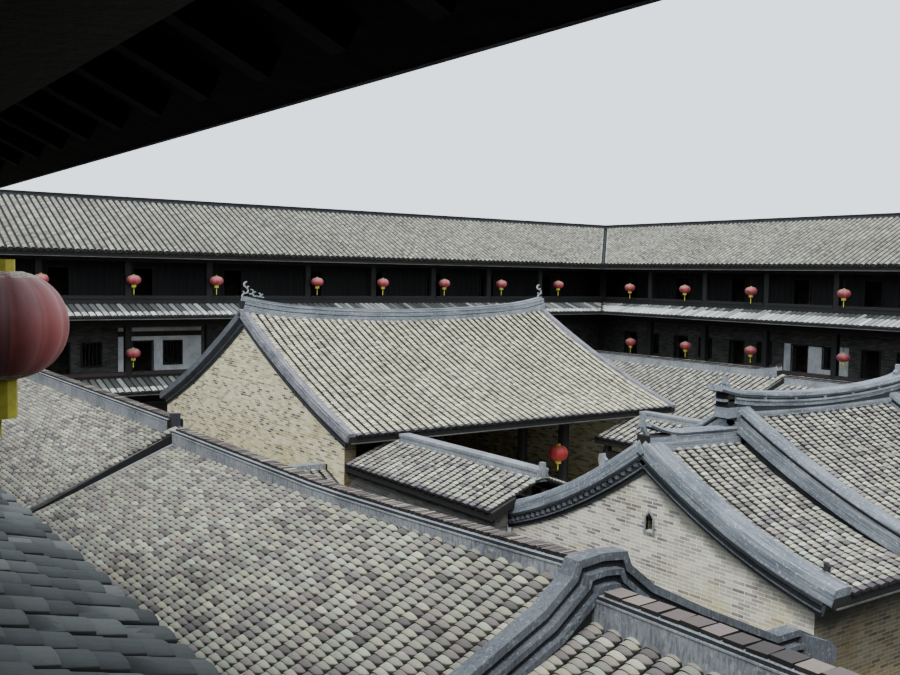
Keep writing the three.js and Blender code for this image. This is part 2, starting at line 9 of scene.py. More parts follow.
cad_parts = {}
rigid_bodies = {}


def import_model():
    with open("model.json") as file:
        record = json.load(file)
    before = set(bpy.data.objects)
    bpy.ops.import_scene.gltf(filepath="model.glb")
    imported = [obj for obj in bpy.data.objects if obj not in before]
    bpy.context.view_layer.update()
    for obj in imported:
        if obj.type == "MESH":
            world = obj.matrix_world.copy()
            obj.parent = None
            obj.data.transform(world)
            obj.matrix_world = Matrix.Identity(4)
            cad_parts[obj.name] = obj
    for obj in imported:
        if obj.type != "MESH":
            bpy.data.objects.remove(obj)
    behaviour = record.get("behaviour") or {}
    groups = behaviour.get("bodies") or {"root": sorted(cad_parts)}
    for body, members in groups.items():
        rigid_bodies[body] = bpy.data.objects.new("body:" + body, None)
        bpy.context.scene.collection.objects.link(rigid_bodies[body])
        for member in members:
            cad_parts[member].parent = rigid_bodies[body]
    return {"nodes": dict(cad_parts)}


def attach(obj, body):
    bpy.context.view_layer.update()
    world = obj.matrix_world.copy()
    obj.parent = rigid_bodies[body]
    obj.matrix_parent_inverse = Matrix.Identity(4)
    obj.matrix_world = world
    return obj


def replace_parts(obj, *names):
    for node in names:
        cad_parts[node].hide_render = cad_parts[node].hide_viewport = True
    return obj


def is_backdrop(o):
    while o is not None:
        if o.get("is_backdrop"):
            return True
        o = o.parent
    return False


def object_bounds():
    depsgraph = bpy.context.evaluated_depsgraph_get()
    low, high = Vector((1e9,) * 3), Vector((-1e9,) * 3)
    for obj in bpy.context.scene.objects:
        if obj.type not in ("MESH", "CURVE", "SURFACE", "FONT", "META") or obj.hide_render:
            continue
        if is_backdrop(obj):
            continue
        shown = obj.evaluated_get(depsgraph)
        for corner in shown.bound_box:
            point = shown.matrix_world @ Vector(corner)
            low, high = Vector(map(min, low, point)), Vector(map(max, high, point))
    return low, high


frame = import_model()
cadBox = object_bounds()
modelScale = 0.5
up = np.array((0.0, 0.0, 1.0))

# The ring: half sizes of the court at the eaves, and depths outwards from the eave.
court = {"halfX": 17.35, "halfY": 18.4}
# Each wing: quarter turns from the north wing, distance of its eave from the middle, and its half length.
wings = {"north": (0, court["halfY"], court["halfX"]), "east": (-1, court["halfX"], court["halfY"]),
         "south": (2, court["halfY"], court["halfX"]), "west": (1, court["halfX"], court["halfY"])}
ringRoof = {"eave": 8.58, "ridgeDepth": 4.6, "ridge": 10.7, "outerDepth": 9.0, "outerEave": 8.45,
            "thickness": 0.25, "overhang": 0.08, "valleyGap": 0.16}
gallery = {"postDepth": 0.85, "middleBayHalf": 2.17, "sideBays": 5, "northShift": -1.2,
           "floors": (0.0, 3.3, 6.2), "parapet": 0.68}
rooms = {"depth": 2.3, "door": (0.76, 1.74), "window": (0.7, 0.85, 0.88), "bars": 4, "shutters": (7.52, 7.58),
         "outerWindows": ((0.35, 4.3, 5.0), (0.6, 7.2, 7.95))}
bayOpenings = {"north": (-0.55, 0.67), "east": (-1.0, 0.54), "south": (-1.0, 0.54), "west": (-1.0, 0.54)}
pents = {"lower": 3.74, "upper": 6.55, "inner": 0.73, "outer": -0.45, "fall": 0.36,
         "slateCourse": 0.14, "limed": -0.12, "limedEast": 0.3}

# The halls and rows in the court.
backHall = {"halfX": 5.93, "vergeX": 5.97, "ridgeY": 10.0, "ridge": 6.66, "frontY": 3.33, "front": 3.75,
            "rearY": 17.1, "rear": 3.35, "sag": 0.2, "dip": 0.31, "stations": np.linspace(-6.03, 6.03, 9)}
frontHall = {"halfX": 5.14, "vergeX": 5.07, "ridgeY": -5.94, "ridge": 4.86, "frontY": -9.9, "front": 3.15,
             "rearY": -1.78, "rear": 2.85, "sag": 0.22, "dip": 0.09, "stations": (-5.26, -2.5, 2.5, 5.26)}
frontCentre = {"halfX": 2.6, "vergeX": 2.62, "ridgeY": -5.94, "ridge": 5.28, "frontY": -10.2, "front": 3.32,
               "rearY": -1.6, "rear": 3.08, "sag": 0.18, "dip": 0.05, "stations": np.linspace(-2.8, 2.8, 7)}
sideGallery = {"ridgeX": 4.45, "ridge": 3.55, "outerX": 5.9, "innerX": 2.9, "eave": 2.98,
               "fromY": -2.4, "toY": 3.75, "crest": (-2.3, 3.22)}
row = {"ridgeX": 11.55, "outerX": 15.3, "innerX": 7.8, "eave": 3.05}
rowSections = {
    "west": {"north": (0.6, 14.7, 4.68), "middle": (-10.74, 0.3, 4.5), "house": (-16.8, -11.34, 4.5)},
    "east": {"north": (3.4, 14.7, 4.43), "middle": (-10.74, 3.1, 4.24), "house": (-16.8, -11.34, 4.24)},
}
middleRise = {"most": 0.335, "power": 1.7}
rowRidge = {"top": 0.284, "sunk": 0.12, "upturn": 0.16, "capPitch": 0.24, "edgePitch": 0.036}
steppedGable = {"y": -11.28, "wall": (-11.42, -11.12), "drop": 0.3,
                "outline": ((0, 0.63), (0.32, 0.6), (0.38, 0.46), (0.75, 0.18), (1.6, -0.23), (2.9, -0.8),
                            (3.3, -0.8), (3.75, -1.0))}
linkRoof = {"ridgeY": 4.75, "ridge": 2.74, "halfDepth": 1.0, "eave": 2.36}
sides = {"west": -1, "east": 1}


# The line of a hall's roof at x, from the eave to the ridge, as in the part.
def hallLine(hall, x, side):
    drops = [hall["dip"] * (1 - (place / hall["halfX"]) ** 2) for place in hall["stations"]]
    drop = np.interp(x, hall["stations"], drops)
    line = []
    for i in range(5):
        along = i / 4
        y = hall[f"{side}Y"] + (hall["ridgeY"] - hall[f"{side}Y"]) * along
        straight = hall[side] + (hall["ridge"] - hall[side]) * along
        line.append((y, straight - 4 * hall["sag"] * along * (1 - along) - drop * along))
    return line


def hallRidgeAt(hall, x):
    return hallLine(hall, x, "front")[-1][1]


# Height of a row's ridge at y; the middle section rises to the south.
def rowRidgeAt(name, section, y):
    fromY, toY, ridge = rowSections[name][section]
    if section != "middle":
        return ridge
    along = min(1.05, max(0.0, (toY - y) / (toY - fromY)))
    return ridge + middleRise["most"] * along ** middleRise["power"]


# Small helpers for node trees

def node(tree, kind, settings=None, **inputs):
    made = tree.nodes.new(kind)
    for key, value in (settings or {}).items():
        setattr(made, key, value)
    for key, value in inputs.items():
        numbered = key.startswith("in") and key[2:].isdigit()
        socket = made.inputs[int(key[2:])] if numbered else made.inputs[key.replace("_", " ")]
        if isinstance(value, bpy.types.NodeSocket):
            tree.links.new(value, socket)
        else:
            socket.default_value = value
    return made


def newMaterial(name, roughness):
    material = bpy.data.materials.new(name)
    material.use_nodes = True
    shader = material.node_tree.nodes["Principled BSDF"]
    shader.inputs["Roughness"].default_value = roughness
    shader.inputs["Metallic"].default_value = 0.0
    return material, material.node_tree


def objectPoint(tree):
    return node(tree, "ShaderNodeTexCoord").outputs["Object"]


# X, Y and Z of the place on the object, and of the way that its surface faces.
def placeParts(tree):
    return node(tree, "ShaderNodeSeparateXYZ", Vector=objectPoint(tree)).outputs


def faceParts(tree):
    normal = node(tree, "ShaderNodeNewGeometry").outputs["Normal"]
    return node(tree, "ShaderNodeSeparateXYZ", Vector=normal).outputs


def attribute(tree, name):
    return node(tree, "ShaderNodeAttribute", {"attribute_name": name}).outputs["Fac"]


def noise(tree, scale, detail=3.0, vector=None, roughness=0.55):
    vector = vector or objectPoint(tree)
    return node(tree, "ShaderNodeTexNoise", Vector=vector, Scale=scale, Detail=detail,
                Roughness=roughness).outputs["Fac"]


def whiteNoise(tree, dimensions, **inputs):
    return node(tree, "ShaderNodeTexWhiteNoise", {"noise_dimensions": dimensions}, **inputs).outputs["Value"]


def stretched(tree, scale):
    return node(tree, "ShaderNodeMapping", Vector=objectPoint(tree), Scale=scale).outputs[0]


def ramp(tree, factor, stops):
    made = node(tree, "ShaderNodeValToRGB", Fac=factor)
    elements = made.color_ramp.elements
    while len(elements) < len(stops):
        elements.new(0.5)
    for element, (place, colour) in zip(elements, stops):
        element.position = place
        element.color = (*colour, 1.0)
    return made.outputs["Color"]


def calculate(tree, operation, a, b=0.0, c=0.0):
    return node(tree, "ShaderNodeMath", {"operation": operation}, in0=a, in1=b, in2=c).outputs[0]


def times(tree, a, b):
    return calculate(tree, "MULTIPLY", a, b)


def mix(tree, factor, a, b, blend="MIX"):
    made = node(tree, "ShaderNodeMix", {"data_type": "RGBA", "blend_type": blend})
    for place, value in ((0, factor), (6, a), (7, b)):
        if isinstance(value, bpy.types.NodeSocket):
            tree.links.new(value, made.inputs[place])
        else:
            made.inputs[place].default_value = value if place == 0 else (*value, 1.0)
    return made.outputs[2]


def band(tree, value, low, high):
    return node(tree, "ShaderNodeMapRange", {"interpolation_type": "SMOOTHSTEP"},
                Value=value, From_Min=low, From_Max=high).outputs["Result"]


# A colour multiplied by a shade, as far as the factor says.
def darkened(tree, factor, colour, shade):
    return mix(tree, factor, colour, shade, "MULTIPLY")


# Gives a material its colour and its relief.
def coloured(material, colour, height, strength, distance):
    tree = material.node_tree
    shader = tree.nodes["Principled BSDF"]
    relief = node(tree, "ShaderNodeBump", Height=height, Strength=strength, Distance=distance)
    tree.links.new(colour, shader.inputs["Base Color"])
    tree.links.new(relief.outputs["Normal"], shader.inputs["Normal"])
    return material


# Materials

tileTones = [(0.0, (0.085, 0.08, 0.08)), (0.1, (0.13, 0.119, 0.122)), (0.24, (0.185, 0.162, 0.166)),
             (0.36, (0.2, 0.21, 0.185)), (0.5, (0.235, 0.245, 0.207)), (0.62, (0.225, 0.19, 0.178)),
             (0.74, (0.245, 0.255, 0.222)), (0.86, (0.32, 0.3, 0.24)), (0.94, (0.3, 0.335, 0.3)),
             (1.0, (0.42, 0.4, 0.33))]
hallTones = [(0.0, (0.24, 0.22, 0.19)), (0.15, (0.36, 0.34, 0.28)), (0.5, (0.48, 0.465, 0.37)),
             (0.8, (0.56, 0.54, 0.42)), (1.0, (0.7, 0.67, 0.54))]
slateTones = [(0.0, (0.022, 0.025, 0.024)), (0.5, (0.042, 0.048, 0.045)), (0.86, (0.07, 0.078, 0.072)),
              (0.95, (0.12, 0.124, 0.116)), (1.0, (0.135, 0.138, 0.128))]
pentTones = [(0.0, (0.05, 0.055, 0.055)), (0.4, (0.13, 0.14, 0.14)), (0.62, (0.24, 0.26, 0.26)),
             (0.8, (0.45, 0.48, 0.475)), (1.0, (0.62, 0.64, 0.63))]
paleTones = [(0.0, (0.25, 0.265, 0.265)), (0.3, (0.42, 0.44, 0.44)), (0.7, (0.62, 0.64, 0.63)),
             (1.0, (0.75, 0.76, 0.75))]
eaveTones = [(0.0, (0.07, 0.062, 0.072)), (1.0, (0.19, 0.165, 0.19))]
capTones = [(0.0, (0.03, 0.025, 0.024)), (0.3, (0.075, 0.058, 0.052)), (0.6, (0.115, 0.092, 0.085)),
            (0.82, (0.17, 0.14, 0.115)), (1.0, (0.3, 0.26, 0.19))]


# Sets the random tones of neighbouring columns apart.
columnSpread = 977.0


def shaded(tones, factor, tint=(1.0, 1.0, 1.0)):
    return [(place, tuple(channel * factor * part for channel, part in zip(colour, tint)))
            for place, colour in tones]


# Tiles: a tone for each, weathered in patches, with painted shade down the sides and on the front end. With a
# course length, long columns have a tone for each course and a painted shadow line under each course's lower
# edge.
def tileMaterial(name, tones, tip=0.28, course=None):
    material, tree = newMaterial(name, 0.9)
    tone = attribute(tree, "tone")
    if course:
        steps = calculate(tree, "DIVIDE", attribute(tree, "run"), course)
        column = times(tree, tone, columnSpread)
        cell = node(tree, "ShaderNodeCombineXYZ", X=calculate(tree, "FLOOR", steps), Y=column)
        tone = whiteNoise(tree, "3D", Vector=cell.outputs[0])
    colour = ramp(tree, tone, tones)
    grain = noise(tree, 60.0, 5.0, roughness=0.7)
    colour = darkened(tree, band(tree, noise(tree, 0.9, 4.0), 0.45, 0.7), colour, (0.78, 0.77, 0.75))
    colour = darkened(tree, band(tree, grain, 0.35, 0.7), colour, (0.84, 0.84, 0.82))
    # Painted shade: the sides of each tile, where its surface turns away from the sky, darkened towards
    # black.
    colour = darkened(tree, band(tree, faceParts(tree)["Z"], 0.5, 0.26), colour, (0.09, 0.09, 0.085))
    # Painted shade on the front end face of each tile; tip is how much of the colour stays there.
    colour = darkened(tree, attribute(tree, "tip"), colour, (tip, tip, tip))
    height = times(tree, grain, 0.2)
    if course:
        step = calculate(tree, "FRACT", steps)
        # Painted shadow: a dark line at the top of each course, where the lower edge of the next tile up
        # casts its shadow.
        colour = mix(tree, band(tree, step, 0.76, 0.9), colour, (0.02, 0.02, 0.019))
        height = calculate(tree, "SUBTRACT", height, step)
    return coloured(material, colour, height, 0.6, 0.008)


# Dark boards, with the bed of the tiles on the faces that look up; the bed is near black, painted shade for
# the gaps between tile columns.
def deckMaterial():
    material, tree = newMaterial("deck_and_boards", 0.95)
    boards = noise(tree, 24.0, 3.0)
    timberTone = ramp(tree, boards, [(0.3, (0.003, 0.0026, 0.0024)), (0.7, (0.009, 0.0078, 0.007))])
    bed = ramp(tree, boards, [(0.3, (0.01, 0.01, 0.0095)), (0.7, (0.035, 0.034, 0.031))])
    facesUp = band(tree, faceParts(tree)["Z"], 0.2, 0.5)
    return coloured(material, mix(tree, facesUp, timberTone, bed), boards, 0.4, 0.01)


def timberMaterial(name, dark, light, boardWidth):
    material, tree = newMaterial(name, 0.75)
    place = placeParts(tree)
    along = calculate(tree, "DIVIDE", calculate(tree, "ADD", place["X"], place["Y"]), boardWidth)
    boards = whiteNoise(tree, "1D", W=calculate(tree, "FLOOR", along))
    grain = noise(tree, 4.0, 6.0, stretched(tree, (14.0, 14.0, 1.6)), 0.65)
    tone = calculate(tree, "ADD", times(tree, boards, 0.35), times(tree, grain, 0.65))
    return coloured(material, ramp(tree, tone, [(0.25, dark), (0.75, light)]), grain, 0.35, 0.006)


# Clouded plaster; its streaks run down, or lengthwise along a moulding, and worn spots are paler.
def plasterMaterial(name, pale, dark, streak=(0.6, 0.62, 0.64), worn=None, lengthwise=False):
    material, tree = newMaterial(name, 0.85)
    cloud = noise(tree, 3.0, 6.0)
    if lengthwise:
        lines = node(tree, "ShaderNodeCombineXYZ", X=times(tree, attribute(tree, "across"), 55.0),
                     Y=times(tree, attribute(tree, "along"), 1.3), Z=cloud).outputs[0]
        drips = noise(tree, 1.0, 4.0, lines, 0.65)
    else:
        drips = noise(tree, 14.0, 5.0, stretched(tree, (6.0, 6.0, 1.2)), 0.65)
    colour = ramp(tree, cloud, [(0.3, dark), (0.62, pale)])
    colour = darkened(tree, band(tree, drips, 0.42, 0.66), colour, streak)
    if worn:
        spots = calculate(tree, "ADD", noise(tree, 34.0, 5.0, roughness=0.7), times(tree, drips, -0.25))
        colour = mix(tree, band(tree, spots, 0.42, 0.55), colour, worn)
    return coloured(material, colour, calculate(tree, "ADD", cloud, drips), 0.6, 0.01)


# Depth of a point on a gable under the hall's front slope, in the frame's metres.
def depthUnderRoof(tree, place, hall):
    line = np.array(hallLine(hall, hall["halfX"], "front")) * modelScale
    square, slope, level = np.polyfit(line[:, 0], line[:, 1], 2)
    rising = calculate(tree, "MULTIPLY_ADD", place["Y"], float(square), float(slope))
    height = calculate(tree, "MULTIPLY_ADD", rising, place["Y"], float(level))
    return calculate(tree, "SUBTRACT", height, place["Z"])


# Moss and painted shadow under the front slope of a gable, and dirt with painted eave shade on its front
# face.
def mossedAndShaded(tree, colour, place, gable):
    depth = depthUnderRoof(tree, place, gable["hall"])
    depth = calculate(tree, "MULTIPLY_ADD", noise(tree, 3.5, 5.0), 0.3, depth)
    # Painted shadow of the verge, mixed with mossy stain, in a band under the front slope.
    shadow = band(tree, depth, gable["reach"] + 0.15, gable["reach"])
    colour = mix(tree, times(tree, shadow, 0.85), colour, gable["mossAndShadow"])
    # Partly dirt, partly painted shade of the eave: the front face darkens towards the top.
    grimeAndEaveShade = ramp(tree, calculate(tree, "MULTIPLY_ADD", noise(tree, 2.5, 4.0), 0.3, place["Z"]),
                 [(0.6, (0.42, 0.37, 0.23)), (1.0, (0.18, 0.165, 0.13))])
    frontFace = calculate(tree, "LESS_THAN", faceParts(tree)["Y"], -0.5)
    return mix(tree, frontFace, colour, darkened(tree, 1.0, colour, grimeAndEaveShade))


def brickMaterial(name, bricks, mortar, joint=0.012, stain=(0.6, 0.6, 0.56), lichen=None, gable=None):
    brickLength, brickCourse = 0.26, 0.068
    material, tree = newMaterial(name, 0.92)
    place = placeParts(tree)
    facesX = calculate(tree, "GREATER_THAN", calculate(tree, "ABSOLUTE", faceParts(tree)["X"]), 0.5)
    along = node(tree, "ShaderNodeMix", {"data_type": "FLOAT"}, in0=facesX, in2=place["X"], in3=place["Y"])
    wall = node(tree, "ShaderNodeCombineXYZ", X=along.outputs[0], Y=place["Z"]).outputs[0]
    courses = node(tree, "ShaderNodeTexBrick", {"offset": 0.5}, Vector=wall, Scale=1.0, Mortar_Smooth=0.2,
                   Bias=0.0, Color1=(0, 0, 0, 1), Color2=(1, 1, 1, 1), Mortar=(0, 0, 0, 1),
                   Mortar_Size=joint * modelScale / 2, Brick_Width=brickLength * modelScale,
                   Row_Height=brickCourse * modelScale)
    tone = node(tree, "ShaderNodeSeparateColor", Color=courses.outputs["Color"]).outputs[0]
    tone = calculate(tree, "ADD", times(tree, tone, 0.62), times(tree, noise(tree, 5.0, 3.0), 0.5))
    colour = mix(tree, courses.outputs["Fac"], ramp(tree, tone, bricks), mortar)
    colour = darkened(tree, band(tree, noise(tree, 0.7, 5.0), 0.55, 0.75), colour, stain)
    if lichen:
        low = times(tree, band(tree, place["Z"], 1.6, 1.1), band(tree, noise(tree, 3.0, 4.0), 0.4, 0.7))
        colour = mix(tree, times(tree, low, 0.55), colour, lichen)
    if gable:
        colour = mossedAndShaded(tree, colour, place, gable)
    colour = darkened(tree, times(tree, noise(tree, 45.0, 4.0), 0.6), colour, (0.8, 0.8, 0.78))
    relief = calculate(tree, "SUBTRACT", noise(tree, 60.0), courses.outputs["Fac"])
    return coloured(material, colour, relief, 0.5, 0.006)


def plainMaterial(name, colour, roughness):
    material, tree = newMaterial(name, roughness)
    grain = noise(tree, 40.0, 4.0)
    darker = tuple(channel * 0.7 for channel in colour)
    return coloured(material, ramp(tree, grain, [(0.3, darker), (0.7, colour)]), grain, 0.2, 0.002)


# Silk on a lantern: gores with painted light and shade, going towards a top colour near the top, and a lace
# hem where lace is given.
def silkMaterial(name, shadedGore, panel, topColour, lace=None):
    material, tree = newMaterial(name, 0.6)
    rise = attribute(tree, "rise")
    # Painted light and shade: gore is how far each gore faces the light side (on the gallery and back hall
    # lanterns alternate gores also differ), so shadedGore is the colour away from the light.
    colour = mix(tree, attribute(tree, "gore"), shadedGore, panel)
    # Towards the top the silk goes to topColour; on the far lanterns this is a painted highlight.
    colour = mix(tree, times(tree, band(tree, rise, 0.45, 1.0), 0.75), colour, topColour)
    if lace:
        fromMiddle = calculate(tree, "ABSOLUTE", calculate(tree, "SUBTRACT", rise, 0.5))
        holes = band(tree, noise(tree, 110.0, 2.0), 0.42, 0.52)
        colour = mix(tree, times(tree, band(tree, fromMiddle, 0.37, 0.4), holes), colour, lace)
    colour = darkened(tree, band(tree, noise(tree, 12.0, 4.0), 0.45, 0.7), colour, (0.78, 0.72, 0.72))
    tree.nodes["Principled BSDF"].inputs["Sheen Weight"].default_value = 0.05
    return coloured(material, colour, noise(tree, 120.0), 0.2, 0.002)


finishes = {
    "rowTile": tileMaterial("weathered_row_tile", shaded(tileTones, 1.3, (1.0, 1.0, 0.92)), tip=0.45),
    "hallTile": tileMaterial("pale_hall_tile", shaded(hallTones, 1.22, (1.0, 1.0, 0.92)), tip=0.5),
    "frontTile": tileMaterial("front_hall_tile", shaded(tileTones, 1.65, (1.0, 1.0, 0.95)), tip=0.4),
    "ringTile": tileMaterial("ring_roof_tile", shaded(tileTones, 1.2, (1.0, 1.0, 0.91)),
                             course=0.12 * modelScale),
    "farRowTile": tileMaterial("far_row_tile", shaded(tileTones, 1.6, (1.0, 1.0, 0.95)), tip=0.55),
    "slateTile": tileMaterial("dark_pent_tile", slateTones),
    "pentTile": tileMaterial("grey_pent_tile", shaded(pentTones, 0.58)),
    "limedTile": tileMaterial("limed_eave_tile", paleTones),
    "eaveTile": tileMaterial("mauve_eave_tile", eaveTones, tip=0.8),
    "capBrick": tileMaterial("ridge_cap_brick", shaded(capTones, 1.35)),
    "deck": deckMaterial(),
    "timber": timberMaterial("old_dark_timber", (0.007, 0.0055, 0.005), (0.026, 0.02, 0.017), 0.07),
    # Painted shade: the gallery timber is near black, standing in for the deep shade inside the galleries.
    "shadedGalleryTimber": timberMaterial("gallery_timber", (0.0008, 0.0007, 0.00065), (0.0035, 0.0028, 0.0026),
                                    0.06),
    "battenTimber": timberMaterial("batten_timber", (0.004, 0.0033, 0.003), (0.016, 0.0125, 0.011), 0.9),
    "railTimber": timberMaterial("rail_timber", (0.008, 0.005, 0.0045), (0.03, 0.018, 0.015), 0.9),
    "plaster": plasterMaterial("blue_grey_plaster", (0.28, 0.303, 0.325), (0.15, 0.165, 0.182),
                               (0.5, 0.51, 0.53), worn=(0.32, 0.335, 0.34)),
    "hallPlaster": plasterMaterial("streaked_plaster", (0.23, 0.257, 0.287), (0.125, 0.145, 0.168),
                                   (0.4, 0.42, 0.45), worn=(0.4, 0.425, 0.44), lengthwise=True),
    "vergePlaster": plasterMaterial("violet_grey_plaster", (0.24, 0.235, 0.262), (0.13, 0.13, 0.15),
                                    (0.4, 0.4, 0.42), worn=(0.42, 0.42, 0.44), lengthwise=True),
    "darkPlaster": plasterMaterial("dark_grey_plaster", (0.125, 0.137, 0.155), (0.06, 0.067, 0.08),
                                   (0.6, 0.61, 0.63), worn=(0.2, 0.22, 0.225)),
    # Painted shade: near-black plaster that ridges, verges and copings use for their recesses, slots and
    # undersides.
    "recess": plasterMaterial("shaded_moulding", (0.03, 0.034, 0.04), (0.012, 0.014, 0.017)),
    "paleLine": plasterMaterial("pale_lime_line", (0.36, 0.38, 0.38), (0.17, 0.185, 0.19)),
    "dullLine": plasterMaterial("dull_eave_line", (0.13, 0.125, 0.12), (0.05, 0.048, 0.046)),
    "limewash": plasterMaterial("white_limewash", (0.8, 0.82, 0.83), (0.52, 0.54, 0.55), (0.75, 0.75, 0.75)),
    "tanBrick": brickMaterial("tan_gable_brick", [(0.24, (0.09, 0.08, 0.075)), (0.36, (0.36, 0.31, 0.17)),
                                                 (0.52, (0.6, 0.52, 0.27)), (0.7, (0.7, 0.64, 0.4)),
                                                 (0.95, (0.82, 0.78, 0.58))],
                              (0.86, 0.84, 0.7), stain=(0.82, 0.77, 0.6), lichen=(0.62, 0.5, 0.17),
                              gable={"hall": backHall, "reach": 0.2, "mossAndShadow": (0.09, 0.1, 0.07)}),
    "greyBrick": brickMaterial("grey_tan_brick", [(0.26, (0.2, 0.175, 0.16)), (0.42, (0.44, 0.4, 0.32)),
                                                 (0.62, (0.55, 0.52, 0.42)), (0.9, (0.74, 0.7, 0.56))],
                               (0.95, 0.95, 0.88), 0.014, (0.8, 0.79, 0.7), lichen=(0.6, 0.48, 0.17),
                               gable={"hall": frontHall, "reach": 0.42, "mossAndShadow": (0.1, 0.105, 0.09)}),
    "darkBrick": brickMaterial("dark_grey_brick", [(0.1, (0.03, 0.03, 0.029)), (0.5, (0.06, 0.06, 0.056)),
                                                  (0.9, (0.11, 0.105, 0.095))], (0.12, 0.12, 0.11), 0.01),
    "outerBrick": brickMaterial("outer_wall_brick", [(0.1, (0.12, 0.11, 0.1)), (0.5, (0.24, 0.23, 0.2)),
                                                    (0.9, (0.34, 0.32, 0.26))], (0.4, 0.39, 0.35)),
    "gap": plainMaterial("black_gap", (0.006, 0.006, 0.006), 0.95),
    # Far lanterns: the pale top colour is a painted highlight.
    "farSilk": silkMaterial("faded_red_silk", (0.16, 0.01, 0.016), (0.44, 0.06, 0.075), (0.62, 0.36, 0.36)),
    "freshSilk": silkMaterial("deep_red_silk", (0.26, 0.012, 0.012), (0.48, 0.03, 0.028), (0.4, 0.08, 0.07)),
    "nearSilk": silkMaterial("old_red_silk", (0.014, 0.007, 0.007), (0.32, 0.07, 0.065), (0.16, 0.06, 0.055),
                             lace=(0.36, 0.3, 0.22)),
    "fringe": plainMaterial("yellow_fringe", (0.6, 0.55, 0.06), 0.8),
    "oldFringe": plainMaterial("olive_fringe", (0.42, 0.38, 0.03), 0.85),
}
print("materials made")


# Meshes

def linked(made):
    bpy.context.scene.collection.objects.link(made)
    return made


def finishPiece(piece):
    piece.data.name = piece.name
    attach(piece, "root")
    return piece


def meshObject(name, points, faces):
    mesh = bpy.data.meshes.new(name)
    mesh.from_pydata((np.asarray(points, float) * modelScale).tolist(), [], faces)
    mesh.validate()
    return linked(bpy.data.objects.new(name, mesh))


# A closed outline from one half of it, given from foot to top as (side, rise).
def mirrored(half):
    return [(-side, rise) for side, rise in half] + [(side, rise) for side, rise in reversed(half)]


def plate(halfWidth, bottom, top):
    return mirrored([(halfWidth, bottom), (halfWidth, top)])


# An outline and the finish of each face: all plain but the underside.
def lipped(half):
    return mirrored(half), [0] * (2 * len(half) - 1) + [1]


# The same from stacked bands, each (half width, top, finish index), starting at foot.
def stacked(foot, bands):
    half, marks, low = [], [], foot
    for index, (halfWidth, top, mark) in enumerate(bands):
        if index:
            marks.append(0)
        half += [(halfWidth, low), (halfWidth, top)]
        marks.append(mark)
        low = top
    return mirrored(half), marks + [0] + marks[::-1] + [0]


# Twice the area inside an outline, below zero where it runs clockwise.
def doubleArea(outline):
    return sum(a[0] * b[1] - b[0] * a[1] for a, b in zip(outline, outline[1:] + outline[:1]))


# Blocks and swept bands gathered into one mesh; each face has the index of its finish.
class Shapes:
    def __init__(self):
        self.points, self.faces, self.marks, self.grain = [], [], [], {}

    def block(self, low, high, mark=0, turn=0):
        start = len(self.points)
        spans = [sorted(pair) for pair in zip(low, high)]
        corners = [(x, y, z) for z in spans[2] for y in spans[1] for x in spans[0]]
        self.points += [tuple(corner) for corner in turned(corners, turn)]
        for quad in ((0, 2, 3, 1), (4, 5, 7, 6), (0, 1, 5, 4), (2, 6, 7, 3), (0, 4, 6, 2), (1, 3, 7, 5)):
            self.faces.append([start + i for i in quad])
            self.marks.append(mark)

    # A closed outline of (side, rise) carried along a path; side is to the right of the way along.
    def sweep(self, path, profile, marks=None, closed=False):
        path = [np.array(place, float) for place in path]
        count, start, total = len(profile), len(self.points), len(path)
        reach = np.cumsum([0.0] + [math.dist(a, b) for a, b in zip(profile, profile[1:])])
        for i, here in enumerate(path):
            before = path[i - 1] if (closed or i > 0) else here
            after = path[(i + 1) % total] if (closed or i < total - 1) else here
            legs = [leg for leg in (here - before, after - here) if np.linalg.norm(leg) > 1e-9]
            legs = [leg / np.linalg.norm(leg) for leg in legs]
            flats = [np.cross(leg, up) / np.linalg.norm(np.cross(leg, up)) for leg in legs]
            side = sum(flats) / len(flats)
            side = side / (side @ side)
            along = sum(legs) / np.linalg.norm(sum(legs))
            rise = np.cross(side / np.linalg.norm(side), along)
            rise = rise / max(0.5, abs(along @ legs[0]))
            run = float(np.linalg.norm(here - path[0]))
            for j, (s, r) in enumerate(profile):
                self.grain[len(self.points)] = (reach[j], run)
                self.points.append(tuple(here + side * s + rise * r))
        area = doubleArea(profile)
        marks = marks or [0] * count
        for i in range(total if closed else total - 1):
            here, after = start + i * count, start + ((i + 1) % total) * count
            for j in range(count):
                k = (j + 1) % count
                quad = [here + j, here + k, after + k, after + j]
                self.faces.append(quad if area < 0 else quad[::-1])
                self.marks.append(marks[j])
        if not closed:
            last = start + (total - 1) * count
            ends = [[start + j for j in range(count)][::-1], [last + j for j in range(count)]]
            self.faces += ends if area < 0 else [face[::-1] for face in ends]
            self.marks += [0, 0]

    # A flat figure: its outline across `axis`, between two places on that axis.
    def plaque(self, outline, axis, low, high, mark=0):
        start, count = len(self.points), len(outline)
        for depth in (low, high):
            self.points += [(depth, a, b) if axis == "x" else (a, depth, b) for a, b in outline]
        faces = [[start + i for i in range(count)], [start + count + i for i in range(count)][::-1]]
        for i in range(count):
            k = (i + 1) % count
            faces.append([start + i, start + count + i, start + count + k, start + k])
        area = doubleArea(outline)
        self.faces += [face[::-1] for face in faces] if (area < 0) != (axis == "x") else faces
        self.marks += [mark] * len(faces)

    def make(self, name, finish, slot):
        made = meshObject(name, self.points, self.faces)
        for each in finish.split():
            made.data.materials.append(finishes[each])
        made.data.polygons.foreach_set("material_index", self.marks)
        for k, axis in enumerate(("across", "along")):
            values = [self.grain.get(i, (0.0, 0.0))[k] for i in range(len(self.points))]
            made.data.attributes.new(axis, "FLOAT", "POINT").data.foreach_set("value", values)
        return finishPiece(made)


